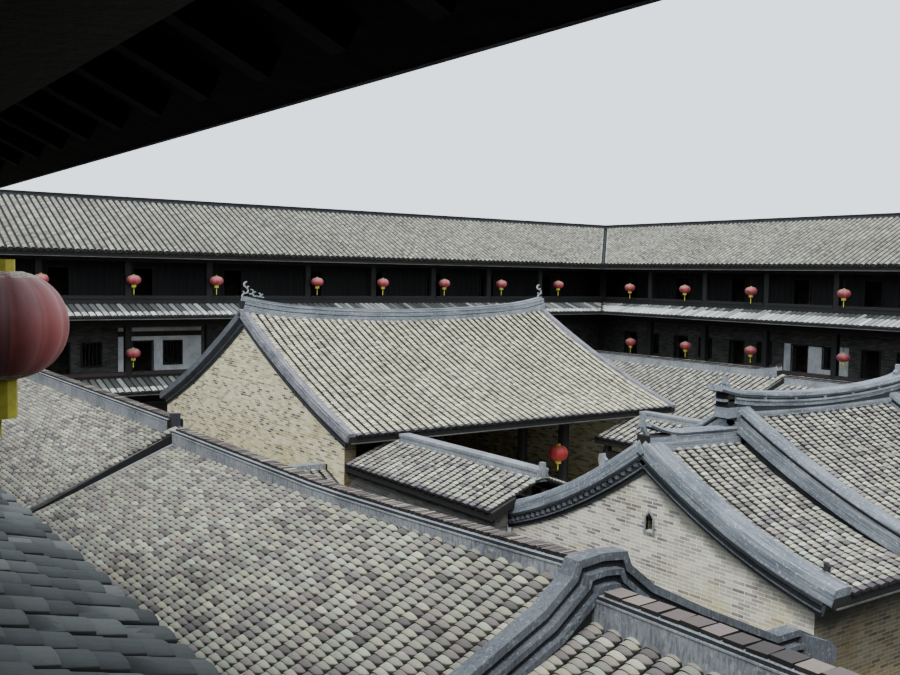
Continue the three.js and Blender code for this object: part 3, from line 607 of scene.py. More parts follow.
def turned(points, quarterTurns):
    c, s = [(1, 0), (0, 1), (-1, 0), (0, -1)][quarterTurns % 4]
    points = np.asarray(points, float)
    x, y, z = points[..., 0], points[..., 1], points[..., 2]
    return np.stack([x * c - y * s, x * s + y * c, z], -1)


# Tiles: one closed barrel tile, set out by its lower end, laid on points by Geometry Nodes

def barrelTile(name, width, height, length, segments, taper):
    def arc(y, scale, foot):
        steps = [math.pi * i / segments for i in range(segments + 1)]
        return [(-math.cos(a) * width / 2 * scale, y, foot + math.sin(a) * height * scale) for a in steps]
    lower, upper = arc(0.0, 1.0, 0.008), arc(length, taper, -0.011)
    n = segments + 1
    faces = [[n + i, n + i + 1, i + 1, i] for i in range(segments)]
    faces += [list(range(n)), [n + i for i in range(n)][::-1], [n - 1, 2 * n - 1, n, 0]]
    made = meshObject(name, lower + upper, faces)
    for polygon in made.data.polygons:
        polygon.use_smooth = polygon.index < segments
    # The front end face is marked, so that the tile's material can paint shade on it.
    tips = made.data.attributes.new("tip", "FLOAT", "FACE")
    tips.data.foreach_set("value", [float(index == segments) for index in range(len(faces))])
    return made


def capBrickTemplate(name, width, length, height):
    shape = Shapes()
    shape.block((-width / 2, 0.0, 0.0), (width / 2, length, height))
    return meshObject(name, shape.points, shape.faces)


# A node group with these inputs that gives pieces; also gives its input sockets.
def nodeGroup(name, inputs):
    tree = bpy.data.node_groups.new(name, "GeometryNodeTree")
    for socket, kind in inputs.items():
        tree.interface.new_socket(name=socket, in_out="INPUT", socket_type=f"NodeSocket{kind}")
    tree.interface.new_socket(name="Pieces", in_out="OUTPUT", socket_type="NodeSocketGeometry")
    return tree, node(tree, "NodeGroupInput").outputs


def finishGroup(tree, geometry, finish):
    finished = node(tree, "GeometryNodeSetMaterial", Geometry=geometry, Material=finish)
    node(tree, "NodeGroupOutput", Pieces=finished.outputs[0])
    return tree


def stored(tree, geometry, domain, name, value):
    return node(tree, "GeometryNodeStoreNamedAttribute", {"data_type": "FLOAT", "domain": domain},
                Geometry=geometry, Name=name, Value=value).outputs[0]


def tileTree():
    tree, given = nodeGroup("lay_tiles", {"Points": "Geometry", "Tile": "Object", "Shift": "Float",
                                          "Turn": "Float", "Seed": "Int", "Finish": "Material"})

    def random(kind, seedShift):
        seed = node(tree, "FunctionNodeIntegerMath", {"operation": "ADD"}, in0=given["Seed"], in1=seedShift)
        return node(tree, "FunctionNodeRandomValue", {"data_type": kind}, Seed=seed.outputs[0])

    def spread(amount, seedShift):
        made = random("FLOAT_VECTOR", seedShift)
        for socket, sign in ((0, -1.0), (1, 1.0)):
            limit = node(tree, "ShaderNodeVectorMath", {"operation": "SCALE"}, in0=(sign,) * 3, Scale=amount)
            tree.links.new(limit.outputs[0], made.inputs[socket])
        return made.outputs[0]

    facing = node(tree, "GeometryNodeInputNamedAttribute", {"data_type": "FLOAT_VECTOR"}, Name="facing")
    moved = node(tree, "GeometryNodeSetPosition", Geometry=given["Points"], Offset=spread(given["Shift"], 1))
    aimed = node(tree, "ShaderNodeVectorMath", {"operation": "ADD"}, in0=facing.outputs[0],
                 in1=spread(given["Turn"], 2))
    template = node(tree, "GeometryNodeObjectInfo", Object=given["Tile"]).outputs["Geometry"]
    laid = node(tree, "GeometryNodeInstanceOnPoints", Points=moved.outputs[0], Instance=template,
                Rotation=aimed.outputs[0])
    toned = stored(tree, laid.outputs[0], "INSTANCE", "tone", random("FLOAT", 3).outputs[1])
    real = node(tree, "GeometryNodeRealizeInstances", Geometry=toned)
    return finishGroup(tree, real.outputs[0], given["Finish"])


def ribTree():
    tree, given = nodeGroup("lay_ribs", {"Lines": "Geometry", "Width": "Float", "Height": "Float",
                                         "Seed": "Int", "Finish": "Material"})
    curves = node(tree, "GeometryNodeMeshToCurve", Mesh=given["Lines"])
    upright = node(tree, "GeometryNodeSetCurveNormal", {"mode": "Z_UP"}, Curve=curves.outputs[0])
    run = node(tree, "GeometryNodeSplineParameter").outputs["Length"]
    measured = stored(tree, upright.outputs[0], "POINT", "run", run)
    random = node(tree, "FunctionNodeRandomValue", {"data_type": "FLOAT"}, Seed=given["Seed"])
    toned = stored(tree, measured, "CURVE", "tone", random.outputs[1])
    circle = node(tree, "GeometryNodeCurvePrimitiveCircle", {"mode": "RADIUS"}, Resolution=8, Radius=0.5)
    flat = node(tree, "ShaderNodeCombineXYZ", X=given["Width"], Y=given["Height"], Z=1.0)
    scaled = node(tree, "GeometryNodeTransform", Geometry=circle.outputs[0], Scale=flat.outputs[0])
    swept = node(tree, "GeometryNodeCurveToMesh", Curve=toned, Profile_Curve=scaled.outputs[0],
                 Fill_Caps=True)
    return finishGroup(tree, swept.outputs[0], given["Finish"])


def bakeNodes(carrier, tree, values, smooth=False):
    modifier = carrier.modifiers.new("nodes", "NODES")
    modifier.node_group = tree
    for item in tree.interface.items_tree:
        if item.item_type == "SOCKET" and item.in_out == "INPUT" and item.name in values:
            modifier[item.identifier] = values[item.name]
    carrier.update_tag()
    graph = bpy.context.evaluated_depsgraph_get()
    mesh = bpy.data.meshes.new_from_object(
        carrier.evaluated_get(graph), preserve_all_data_layers=True, depsgraph=graph)
    carrier.modifiers.remove(modifier)
    carrier.data = mesh
    if smooth:
        mesh.shade_smooth()
    finishPiece(carrier)


layTilesTree, layRibsTree = tileTree(), ribTree()

# Tiles: width, height, length, facets across, upper width against lower. Bricks: their three sides.
templates = {
    "far": barrelTile("far_tile", 0.2, 0.085, 0.19, 4, 0.98),
    "mid": barrelTile("mid_tile", 0.203, 0.08, 0.19, 4, 0.98),
    "near": barrelTile("near_tile", 0.222, 0.083, 0.17, 8, 0.98),
    "flat": barrelTile("flat_tile", 0.244, 0.034, 0.3, 6, 0.97),
    "cap": capBrickTemplate("cap_brick", 0.25, 0.215, 0.045),
    "edge": capBrickTemplate("edge_tile", 0.21, 0.03, 0.045),
}
tilePitch, tileCourse, nearCourse, tileOverhang = 0.25, 0.1, 0.09, 0.05


def eulers(across, slopeUp):
    normal = np.cross(across, slopeUp)
    x = np.arctan2(slopeUp[:, 2], normal[:, 2])
    y = -np.arcsin(np.clip(across[:, 2], -1, 1))
    z = np.arctan2(across[:, 1], across[:, 0])
    return np.stack([x, y, z], -1)


# Places and directions of tiles on a slope; lineAt(along) is its line from eave to ridge.
def slopeTiles(lineAt, alongRange, axis, ridgeGap=0.1, keep=None, course=tileCourse, overhang=tileOverhang):
    places, across, slopes, courses = [], [], [], []
    low, high = min(alongRange), max(alongRange)
    columns = max(1, round((high - low) / tilePitch))
    for i in range(columns):
        along = low + (i + 0.5) * (high - low) / columns
        line = np.array(lineAt(along), float)
        first = (line[0] - line[1]) / np.linalg.norm(line[0] - line[1])
        line = np.concatenate([[line[0] + first * overhang], line])
        lengths = np.concatenate([[0.0], np.cumsum(np.linalg.norm(np.diff(line, axis=0), axis=1))])
        rows = np.arange(0, lengths[-1] - ridgeGap, course)
        reach, rise = (np.interp(rows, lengths, line[:, k]) for k in (0, 1))
        ahead, riseAhead = (np.interp(rows + 0.08, lengths, line[:, k]) for k in (0, 1))
        step = np.stack([ahead - reach, riseAhead - rise], -1)
        step /= np.linalg.norm(step, axis=1)[:, None]
        full, zero = np.full(len(rows), along), np.zeros(len(rows))
        sign = np.sign(step[:, 0])
        if axis == "x":
            places.append(np.stack([full, reach, rise], -1))
            slopes.append(np.stack([zero, step[:, 0], step[:, 1]], -1))
            across.append(np.stack([sign, zero, zero], -1))
        else:
            places.append(np.stack([reach, full, rise], -1))
            slopes.append(np.stack([step[:, 0], zero, step[:, 1]], -1))
            across.append(np.stack([zero, -sign, zero], -1))
        courses.append(np.arange(len(rows)))
    result = [np.concatenate(part) for part in (places, across, slopes, courses)]
    if keep is not None:
        kept = keep(result[0])
        result = [part[kept] for part in result]
    return result


def layTiles(name, groups, tile, finish, seed, shift=0.004, turn=0.018):
    places, across, slopes = (np.concatenate([group[k] for group in groups]) for k in range(3))
    layAt(name, places, eulers(across, slopes), tile, finish, seed, shift, turn)


def unturned(places):
    return np.zeros((len(places), 3))


def layAt(name, places, angles, tile, finish, seed, shift=0.0, turn=0.0):
    carrier = meshObject(name, places, [])
    facing = carrier.data.attributes.new("facing", "FLOAT_VECTOR", "POINT")
    facing.data.foreach_set("vector", np.asarray(angles, float).ravel())
    values = {"Tile": templates[tile], "Shift": shift * modelScale, "Turn": turn, "Seed": seed,
              "Finish": finishes[finish]}
    bakeNodes(carrier, layTilesTree, values)


# A slope whose lowest tiles have the finish of eave tiles.
def layWithEave(name, groups, tile, finish, seed):
    for suffix, chosen, lowest in (("", finish, False), ("_eave", "eaveTile", True)):
        picked = [[part[(group[3] == 0) == lowest] for part in group] for group in groups]
        layTiles(name + suffix, picked, tile, chosen, seed)


def pitched(end, roof, ridge):
    return [[(end * roof[edge], roof["eave"]), (end * roof["ridgeX"], ridge)]
            for edge in ("innerX", "outerX")]


def bothSlopes(hall, alongRange, ridgeGap=0.12):
    return [slopeTiles(lambda x, side=side: hallLine(hall, x, side), alongRange, "x", ridgeGap)
            for side in ("front", "rear")]


def layRoofTiles():
    edge = backHall["halfX"] - 0.07
    layWithEave("back_hall_tiles", bothSlopes(backHall, (-edge, edge)), "mid", "hallTile", 11)
    edge = frontCentre["halfX"] - 0.2
    layWithEave("front_hall_centre_tiles", bothSlopes(frontCentre, (-edge, edge)), "mid", "frontTile", 61)
    for name, end in sides.items():
        span = (end * 2.7, end * 4.87)
        layWithEave(f"front_hall_{name}_tiles", bothSlopes(frontHall, span), "mid", "frontTile", 21 + end)
        clear = lambda p: (np.abs(p[:, 0]) > 5.4) | (p[:, 1] > sideGallery["crest"][0])
        span = (sideGallery["fromY"] + 0.05, sideGallery["toY"] - 0.05)
        lines = pitched(end, sideGallery, sideGallery["ridge"])
        slopes = [slopeTiles(lambda y, line=line: line, span, "y", 0.12, clear) for line in lines]
        layWithEave(f"{name}_side_gallery_tiles", slopes, "mid", "frontTile", 31 + end)
        near = ("near", "rowTile", nearCourse)
        tile, finish, course = near if end < 0 else ("far", "farRowTile", tileCourse)
        for section, (fromY, toY, _) in rowSections[name].items():
            lineAt = [lambda y, k=k: pitched(end, row, rowRidgeAt(name, section, y))[k] for k in (0, 1)]
            span = (steppedGable["wall"][1] if section == "middle" else fromY + 0.03, toY - 0.03)
            slopes = [slopeTiles(line, span, "y", 0.15, course=course) for line in lineAt]
            layTiles(f"{name}_{section}_row_tiles", slopes, tile, finish, 41 + end, 0.003, 0.014)
        halves = [[(linkRoof["ridgeY"] + s * linkRoof["halfDepth"], linkRoof["eave"]),
                   (linkRoof["ridgeY"], linkRoof["ridge"])] for s in (-1, 1)]
        slopes = [slopeTiles(lambda x, line=line: line, (end * 6.0, end * 7.7), "x", 0.1) for line in halves]
        layTiles(f"{name}_link_tiles", slopes, "far", "rowTile", 51 + end)
    print("court roofs tiled")


# Long barrel columns between pairs of points, given in the north wing's frame and turned to their wing.
def layRibs(name, turn, lines, width, height, finish, seed):
    points = turned([point for line in lines for point in line], turn) * modelScale
    mesh = bpy.data.meshes.new(name)
    mesh.from_pydata(points.tolist(), [(2 * i, 2 * i + 1) for i in range(len(lines))], [])
    values = {"Width": width * modelScale, "Height": height * modelScale, "Seed": seed,
              "Finish": finishes[finish]}
    bakeNodes(linked(bpy.data.objects.new(name, mesh)), layRibsTree, values, smooth=True)


# The pent roofs: dark flat slates in the west, and elsewhere columns whose lower part is limed.
def layPentTiles():
    fall = pents["fall"] / (pents["inner"] - pents["outer"])
    for name in ("lower", "upper"):
        high = pents[name]
        for index, (wing, (turn, eave, half)) in enumerate(wings.items()):
            if wing == "west":
                line = [(eave + pents["outer"], high - pents["fall"]), (eave + pents["inner"], high)]
                keep = lambda p: np.abs(p[:, 0]) <= half + (p[:, 1] - eave) - 0.05
                parts = slopeTiles(lambda x: line, (-half - 0.7, half + 0.7), "x", 0.06, keep,
                                   pents["slateCourse"], -0.02)
                layTiles(f"{wing}_{name}_pent_tiles", [[turned(part, turn) for part in parts[:3]]], "flat",
                         "slateTile", 71, 0.008, 0.02)
                continue
            limed = pents["limedEast"] if wing == "east" else pents["limed"]
            heightAt = lambda d: high - fall * (pents["inner"] - d) + 0.015
            lines = {"tiles": [], "limed_tiles": []}
            for x in np.arange(-half - 0.6, half + 0.6, tilePitch):
                start = max(pents["outer"] - 0.03, abs(x) - half + 0.04)
                for part, low, top in (("limed_tiles", start, limed),
                                       ("tiles", max(start, limed), pents["inner"])):
                    if top - low > 0.06:
                        lines[part].append([(x, eave + d, heightAt(d)) for d in (low, top)])
            for part, finish in (("tiles", "pentTile"), ("limed_tiles", "limedTile")):
                layRibs(f"{wing}_{name}_pent_{part}", turn, lines[part], 0.22, 0.1, finish, 60 + index)
    print("pent roofs tiled")


# Long barrel columns on the main roof, cut at the valleys over the court and at the outer hips.
def layRingRibs():
    inside = {"from": -ringRoof["overhang"], "to": 4.43, "low": ringRoof["eave"], "lowAt": 0.0}
    outside = {"from": 4.77, "to": 9.0, "low": ringRoof["outerEave"], "lowAt": ringRoof["outerDepth"]}
    for index, (name, (turn, eave, half)) in enumerate(wings.items()):
        lines = []
        for slope in (inside, outside):
            fall = (ringRoof["ridge"] - slope["low"]) / abs(ringRoof["ridgeDepth"] - slope["lowAt"])
            heightAt = lambda d: ringRoof["ridge"] - fall * abs(d - ringRoof["ridgeDepth"]) + 0.012
            reach = half + slope["to"]
            columns = round(2 * reach / tilePitch)
            for i in range(columns):
                x = -reach + (i + 0.5) * 2 * reach / columns
                start, end = max(slope["from"], abs(x) - half + ringRoof["valleyGap"]), slope["to"]
                if end - start > 0.1:
                    ends = (start, end) if slope is inside else (end, start)
                    lines.append([(x, eave + d, heightAt(d)) for d in ends])
        layRibs(f"{name}_roof_tiles", turn, lines, 0.185, 0.17, "ringTile", 80 + index)
    print("ring roof laid")


# A closed path round the court at one depth and height.
def roundCourt(depth, z):
    x, y = court["halfX"] + depth, court["halfY"] + depth
    return [(-x, -y, z), (x, -y, z), (x, y, z), (-x, y, z)]


def makeRingTrim():
    crest = Shapes()
    profile, marks = stacked(-0.1, [(0.19, 0.05, 1), (0.165, 0.1, 0), (0.12, 0.13, 0)])
    crest.sweep(roundCourt(ringRoof["ridgeDepth"], ringRoof["ridge"]), profile, marks, closed=True)
    crest.make("ring_ridge_cap", "slateTile recess", "roof_tile")

    edge = Shapes()
    low = ringRoof["eave"] - ringRoof["thickness"]
    edge.sweep(roundCourt(-0.01, low + 0.01), plate(0.01, -0.008, 0.008), closed=True)
    for name in ("lower", "upper"):
        pentLow = pents[name] - pents["fall"] - 0.13
        edge.sweep(roundCourt(pents["outer"] - 0.01, pentLow + 0.01), plate(0.01, -0.009, 0.009), closed=True)
    edge.make("ring_eave_boards", "dullLine", "old_timber")

    joints = Shapes()
    for sx in (-1, 1):
        for sy in (-1, 1):
            corner = lambda d, z: (sx * (court["halfX"] + d), sy * (court["halfY"] + d), z)
            valley = [corner(-0.02, ringRoof["eave"]), corner(4.42, ringRoof["ridge"] - 0.08)]
            for offset in (-0.13, 0.13):
                joints.sweep(valley, [(offset + side, rise) for side, rise in plate(0.035, -0.02, 0.1)])
            hip = [corner(4.8, ringRoof["ridge"] - 0.1), corner(9.02, ringRoof["outerEave"])]
            joints.sweep(hip, [(-0.2, -0.02), (-0.17, 0.13), (0.17, 0.13), (0.2, -0.02)])
    joints.make("ring_corner_joints", "paleLine", "lime_plaster")


# Ridges, verges and copings

def rowRidges():
    bands = [(0.177, 0.228, 0), (0.187, 0.246, 2), (0.168, rowRidge["top"], 1)]
    for name, end in sides.items():
        body, caps = Shapes(), {"cap": [], "edge": []}
        x = end * row["ridgeX"]
        for section, (fromY, toY, ridge) in rowSections[name].items():
            start = steppedGable["wall"][1] if section == "middle" else fromY + 0.01
            upturn = rowRidge["upturn"] if (name, section) == ("east", "north") else 0.0
            most = rowRidge["sunk"] if section == "middle" else 0.0
            line = lambda y: rowRidgeAt(name, section, y) + upturn * max(0.0, 1 - (y - fromY) / 0.7) ** 2
            sunk = lambda y: line(y) - min(most, max(0.0, line(y) - ridge))
            path = [(x, y, sunk(y)) for y in np.linspace(start, toY - 0.01, 13)]
            body.sweep(path, *stacked(-0.1, bands))
            kind = "cap" if section == "house" else "edge"
            pitch = rowRidge[f"{kind}Pitch"]
            caps[kind] += [(x, y, sunk(y) + rowRidge["top"]) for y in np.arange(start, toY - pitch, pitch)]
        if name == "west":
            northY, _, northRidge = rowSections[name]["north"]
            body.block((x - 0.09, northY - 0.06, northRidge - 0.05),
                       (x + 0.09, northY + 0.06, northRidge + 0.4), 1)
        body.make(f"{name}_row_ridges", "plaster recess paleLine", "lime_plaster")
        for kind, places in caps.items():
            layAt(f"{name}_row_ridge_{kind}s", places, unturned(places), kind, "capBrick", 91, 0.006, 0.03)


def partyWallTops():
    for name, end in sides.items():
        _, middleY, middleRidge = rowSections[name]["middle"]
        northY, _, ridge = rowSections[name]["north"]
        lines = pitched(end, row, ridge + 0.1)
        span = (northY - 0.26, northY - 0.02)
        raised = [slopeTiles(lambda y, line=line: line, span, "y", 0.12) for line in lines]
        layTiles(f"{name}_party_wall_tiles", raised, "near" if end < 0 else "far", "rowTile", 95)
        slot = Shapes()
        for line in lines:
            slot.sweep([(x, middleY + 0.02, z - 0.04) for x, z in line], plate(0.03, -0.2, 0.045))
            joint = [(x, middleY - 0.02, z - 0.1 - (ridge - middleRidge) * (i == 1))
                     for i, (x, z) in enumerate(line)]
            slot.sweep(joint, plate(0.05, -0.02, 0.1), [1] * 4)
        slot.make(f"{name}_party_wall_joint", "gap paleLine", "lime_plaster")


def backHallRidge():
    reach, y = 6.02, backHall["ridgeY"]
    bands = [(0.2, 0.1, 0), (0.178, 0.125, 1), (0.19, 0.27, 0), (0.21, 0.3, 2), (0.12, 0.36, 0)]
    line = lambda x: hallRidgeAt(backHall, x) + 0.12 * (abs(x) / reach) ** 8
    ridge = Shapes()
    ridge.sweep([(x, y, line(x)) for x in np.linspace(-reach, reach, 33)], *stacked(-0.1, bands))
    # Scrolls at the ends: places inwards and upwards, radius and first angle.
    curls = [((0.0, 0.06), 0.11, 1.9), ((0.02, 0.24), 0.1, 3.4), ((0.05, 0.42), 0.1, 1.5),
             ((0.2, 0.2), 0.09, 3.9), ((0.33, 0.13), 0.085, 1.2), ((0.46, 0.1), 0.075, 3.6),
             ((0.58, 0.07), 0.065, 1.4)]
    for end in (-1, 1):
        for (across, rise), radius, turn in curls if end < 0 else curls[:3]:
            x, z = end * (5.92 - across), hallRidgeAt(backHall, 5.9) + 0.42 + rise
            arc = [turn + k * 0.6 for k in range(8)]
            outer, inner = ([(x + r * math.cos(t), z + r * math.sin(t)) for t in arc]
                            for r in (radius, radius - 0.032))
            ridge.plaque(outer + inner[::-1], "y", y - 0.03, y + 0.03, 2)
    ridge.make("back_hall_ridge", "hallPlaster recess paleLine", "lime_plaster")


# The centre ridge: a convex foot, a panel, a pale line, a slot painted dark as shade and a top band whose
# ends sweep up.
def frontCentreRidge():
    y = frontCentre["ridgeY"]
    line = lambda x: hallRidgeAt(frontCentre, x)

    def top(x):
        sweptUp = 0.1 * max(0.0, (abs(x) - 2.6) / 0.7) ** 2
        return line(x) + 0.37 + 0.08 * min(abs(x) / 2.6, 1.2) ** 2 + sweptUp

    def along(height, reach, steps):
        return [(x, y, height(x)) for x in np.linspace(-reach, reach, steps)]

    ridge = Shapes()
    foot = [(0.2, -0.04, 0), (0.22, 0.03, 0), (0.2, 0.058, 2), (0.16, 0.2, 1)]
    ridge.sweep(along(line, 2.82, 19), *stacked(-0.12, foot))
    panel = [(0.172, -0.17, 0), (0.196, -0.135, 2), (0.158, -0.07, 1)]
    ridge.sweep(along(top, 2.88, 19), *stacked(-0.26, panel))
    ridge.sweep(along(top, 3.3, 31), *lipped([(0.165, -0.1), (0.2, -0.05), (0.17, 0.015)]))
    for x in (-2.0, -1.0, 0.0, 1.0, 2.0):
        ridge.block((x - 0.035, y - 0.185, top(x) - 0.14), (x + 0.035, y + 0.185, top(x) - 0.09))
    finial = ((2.93, 5.74), (2.9, 5.86), (2.98, 5.92), (2.99, 6.03), (3.05, 6.04), (3.07, 5.9),
              (3.03, 5.82), (3.04, 5.76))
    for end in (-1, 1):
        ridge.block((end * 2.86, y - 0.15, 5.56), (end * 3.2, y + 0.15, 5.6))
        ridge.block((end * 2.8, y - 0.165, 5.24), (end * 3.12, y + 0.165, 5.44))
        ridge.plaque([(end * side, rise) for side, rise in finial], "y", y - 0.05, y + 0.05)
    ridge.make("front_hall_centre_ridge", "hallPlaster recess paleLine", "lime_plaster")


def frontSideRidges():
    y = frontHall["ridgeY"]
    line = lambda x: hallRidgeAt(frontHall, x)
    lift = lambda x: line(x) + 0.245 + 0.22 * max(0.0, x - 4.3) ** 2
    bands = [(0.2, 0.055, 0), (0.19, 0.075, 2), (0.155, 0.175, 0), (0.15, 0.195, 1)]
    prong = ((5.12, 5.05), (5.2, 5.05), (5.3, 5.22), (5.28, 5.46), (5.24, 5.46), (5.24, 5.24))
    for name, end in sides.items():
        ridge = Shapes()
        ridge.sweep([(end * x, y, line(x)) for x in (2.7, 3.6, 4.5, 5.22)], *stacked(-0.1, bands))
        ridge.sweep([(end * x, y, lift(x)) for x in np.linspace(2.7, 5.2, 15)],
                    *lipped([(0.15, -0.06), (0.178, -0.02), (0.14, 0.015)]))
        ridge.block((end * 4.56, y - 0.17, line(4.6) + 0.07), (end * 4.69, y + 0.17, line(4.6) + 0.2))
        ridge.plaque([(end * side, rise) for side, rise in prong], "y", y - 0.04, y + 0.04)
        ridge.make(f"front_hall_{name}_ridge", "hallPlaster recess paleLine", "lime_plaster")


# A smooth line down one slope at x, from the eave to the ridge.
def vergePath(hall, x, side, start=0.0, count=13):
    line = np.array(hallLine(hall, x, side))
    curve = np.polyfit(np.linspace(0, 1, len(line)), line[:, 1], 2)
    eaveY = hall[f"{side}Y"]
    return [(x, eaveY + (hall["ridgeY"] - eaveY) * t, np.polyval(curve, t))
            for t in np.linspace(start, 1, count)]


def mouldings(shapes, hall, face, side, bands):
    for reach, top, bottom, mark in bands:
        path = vergePath(hall, face + math.copysign(reach / 2, face), side, start=0.04)
        shapes.sweep(path, plate(reach / 2 + 0.004, bottom, top), [mark] * 4)


# Square ends of the small bricks that carry a verge, in a row under it.
def dentils(shapes, hall, face, side, bottom, top, reach):
    outer = face + math.copysign(reach, face)
    for _, y, z in vergePath(hall, face, side, start=0.05, count=26)[:-1]:
        shapes.block((face, y - 0.045, z + bottom), (outer, y + 0.045, z + top))


# The wide bands over the front hall's verges, with a hook and a knob on them.
def frontVerge(name, end):
    cover = Shapes()
    x = end * frontHall["vergeX"]
    outline = mirrored([(0.2, -0.15), (0.235, -0.12), (0.23, 0.07), (0.2, 0.135), (0.1, 0.155)])
    for side in ("front", "rear"):
        cover.sweep(vergePath(frontHall, x, side), outline, [1, 0, 0, 0, 0, 0, 0, 0, 1, 1])
    hook = [(-9.54, 3.42), (-9.57, 3.5), (-9.52, 3.55), (-9.46, 3.54), (-9.47, 3.48), (-9.44, 3.42)]
    cover.plaque(hook, "x", end * 4.88 - 0.03, end * 4.88 + 0.03, 1)
    knob = [(-4.8, 4.3), (-4.86, 4.42), (-4.79, 4.47), (-4.77, 4.54), (-4.68, 4.52), (-4.66, 4.43),
            (-4.7, 4.25)]
    cover.plaque(knob, "x", x - 0.04, x + 0.04, 2)
    cover.make(f"front_hall_{name}_verge", "hallPlaster recess paleLine", "lime_plaster")


# The ridges that hang down beside the raised centre roof, over a drop painted dark as shade.
def hangingRidge(name, end):
    hanging = Shapes()
    x = end * frontCentre["vergeX"]
    bands = [(0.205, -0.06, 0), (0.192, 0.02, 0), (0.184, 0.04, 2), (0.176, 0.075, 0)]
    for side in ("front", "rear"):
        hanging.sweep(vergePath(frontCentre, x, side), *stacked(-0.2, bands))
        hanging.sweep(vergePath(frontCentre, x, side, start=0.14),
                      *lipped([(0.165, 0.12), (0.185, 0.15), (0.15, 0.215)]))
        # Painted shade: a near-black plate under the hanging ridge, where its overhang shades the side.
        drop = vergePath(frontCentre, end * 2.69, side, start=0.05)
        hanging.sweep(drop, plate(0.035, -0.6, -0.1), [1] * 4)
    hanging.make(f"front_hall_{name}_hanging_ridge", "hallPlaster recess paleLine", "lime_plaster")


def frontMouldings(name, end):
    under = Shapes()
    face = end * frontHall["halfX"]
    bands = [(0.17, -0.13, -0.165, 1), (0.14, -0.165, -0.19, 0), (0.09, -0.19, -0.3, 1),
             (0.1, -0.3, -0.325, 0), (0.04, -0.325, -0.4, 1)]
    for side in ("front", "rear"):
        mouldings(under, frontHall, face, side, bands)
    dentils(under, frontHall, face, "rear", -0.29, -0.21, 0.13)
    under.make(f"front_hall_{name}_verge_mouldings", "darkPlaster recess", "lime_plaster")


def backVerge(name, end):
    back = Shapes()
    bands = [(0.14, -0.16, -0.2, 1), (0.11, -0.2, -0.225, 2), (0.08, -0.225, -0.31, 1),
             (0.07, -0.31, -0.335, 2), (0.03, -0.335, -0.42, 1)]
    for side, tone in (("front", 0), ("rear", 2)):
        cover = [(0.13, 0.0, tone), (0.115, 0.012, 1), (0.125, 0.05, tone), (0.09, 0.1, tone)]
        back.sweep(vergePath(backHall, end * backHall["vergeX"], side), *stacked(-0.14, cover))
        mouldings(back, backHall, end * backHall["halfX"], side, bands)
    back.make(f"back_hall_{name}_verge", "vergePlaster recess darkPlaster", "lime_plaster")


def hallVerges():
    for name, end in sides.items():
        frontVerge(name, end)
        hangingRidge(name, end)
        frontMouldings(name, end)
        backVerge(name, end)


# Thin boards along the lower edges of the halls' eaves.
def hallEaveBoards():
    boards = Shapes()
    spans = [(backHall, -5.98, 5.98), (frontCentre, -2.75, 2.75), (frontHall, -5.2, -2.84),
             (frontHall, 2.84, 5.2)]
    for hall, low, high in spans:
        for side, outward in (("front", -1), ("rear", 1)):
            path = [(x, hall[f"{side}Y"] + outward * 0.01, hallLine(hall, x, side)[0][1] - 0.17)
                    for x in (low, high)]
            boards.sweep(path, plate(0.012, -0.012, 0.012))
    boards.make("hall_eave_boards", "dullLine", "old_timber")


# Pointed frames of the small windows in the front hall's gables.
def pointedFrames():
    frames = Shapes()
    y = -6.06
    for end in (-1, 1):
        face = end * frontHall["halfX"]
        low, high = face + end * 0.03, face - end * 0.05
        for side in (-1, 1):
            frames.block((low, y + side * 0.09, 3.3), (high, y + side * 0.12, 3.56))
            slope = [(y + side * 0.09, 3.56), (y + side * 0.12, 3.56), (y, 3.73), (y, 3.67)]
            frames.plaque(slope, "x", min(low, high), max(low, high))
        frames.block((low, y - 0.13, 3.26), (high, y + 0.13, 3.3))
    frames.make("pointed_window_frames", "paleLine", "lime_plaster")


def steppedCopings():
    bands = [(0.165, -0.325, 1), (0.205, -0.26, 0), (0.115, -0.185, 1), (0.16, -0.125, 0),
             (0.06, -0.052, 1), (0.1, 0.03, 0)]
    footBlock = [(-0.45, -1.26), (0.1, -1.24), (0.13, -1.08), (0.0, -0.97), (-0.4, -0.83)]
    for name, end in sides.items():
        ridge, y = rowSections[name]["middle"][2], steppedGable["y"]
        half = [(x, ridge + z) for x, z in steppedGable["outline"]]
        whole = [(-x, z) for x, z in reversed(half[1:])] + half
        outline = [(end * row["ridgeX"] + x, z) for x, z in whole]
        coping = Shapes()
        coping.sweep([(x, y, z) for x, z in outline], *stacked(-0.4, bands))
        wall = [(x, z - steppedGable["drop"]) for x, z in outline]
        wall = [(wall[0][0], 0.02)] + wall + [(wall[-1][0], 0.02)]
        coping.plaque(wall, "y", *steppedGable["wall"], 1)
        for side in (-1, 1):
            foot = end * row["ridgeX"] + side * steppedGable["outline"][-1][0]
            coping.plaque([(foot + side * x, ridge + z) for x, z in footBlock], "y", y - 0.24, y + 0.2)
        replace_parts(coping.make(f"{name}_stepped_coping", "darkPlaster recess", "lime_plaster"),
                    f"{name}_row_stepped_gable")


def galleryAndLinkRidges():
    bands = [(0.165, 0.06, 0), (0.145, 0.13, 0), (0.165, 0.2, 0)]
    for name, end in sides.items():
        crest = Shapes()
        x, z = end * sideGallery["ridgeX"], sideGallery["ridge"]
        crest.sweep([(x, y, z) for y in sideGallery["crest"]], *stacked(-0.08, bands))
        crest.block((x - 0.05, -2.34, z), (x + 0.05, -2.22, z + 0.34))
        link = [(end * x, linkRoof["ridgeY"], linkRoof["ridge"]) for x in (6.0, 7.78)]
        crest.sweep(link, *stacked(-0.05, [(0.13, 0.13, 0)]))
        crest.make(f"{name}_small_ridges", "plaster recess", "lime_plaster")


# Joinery of the ring: shutters, door and window frames, bars, slats, rails and rafters

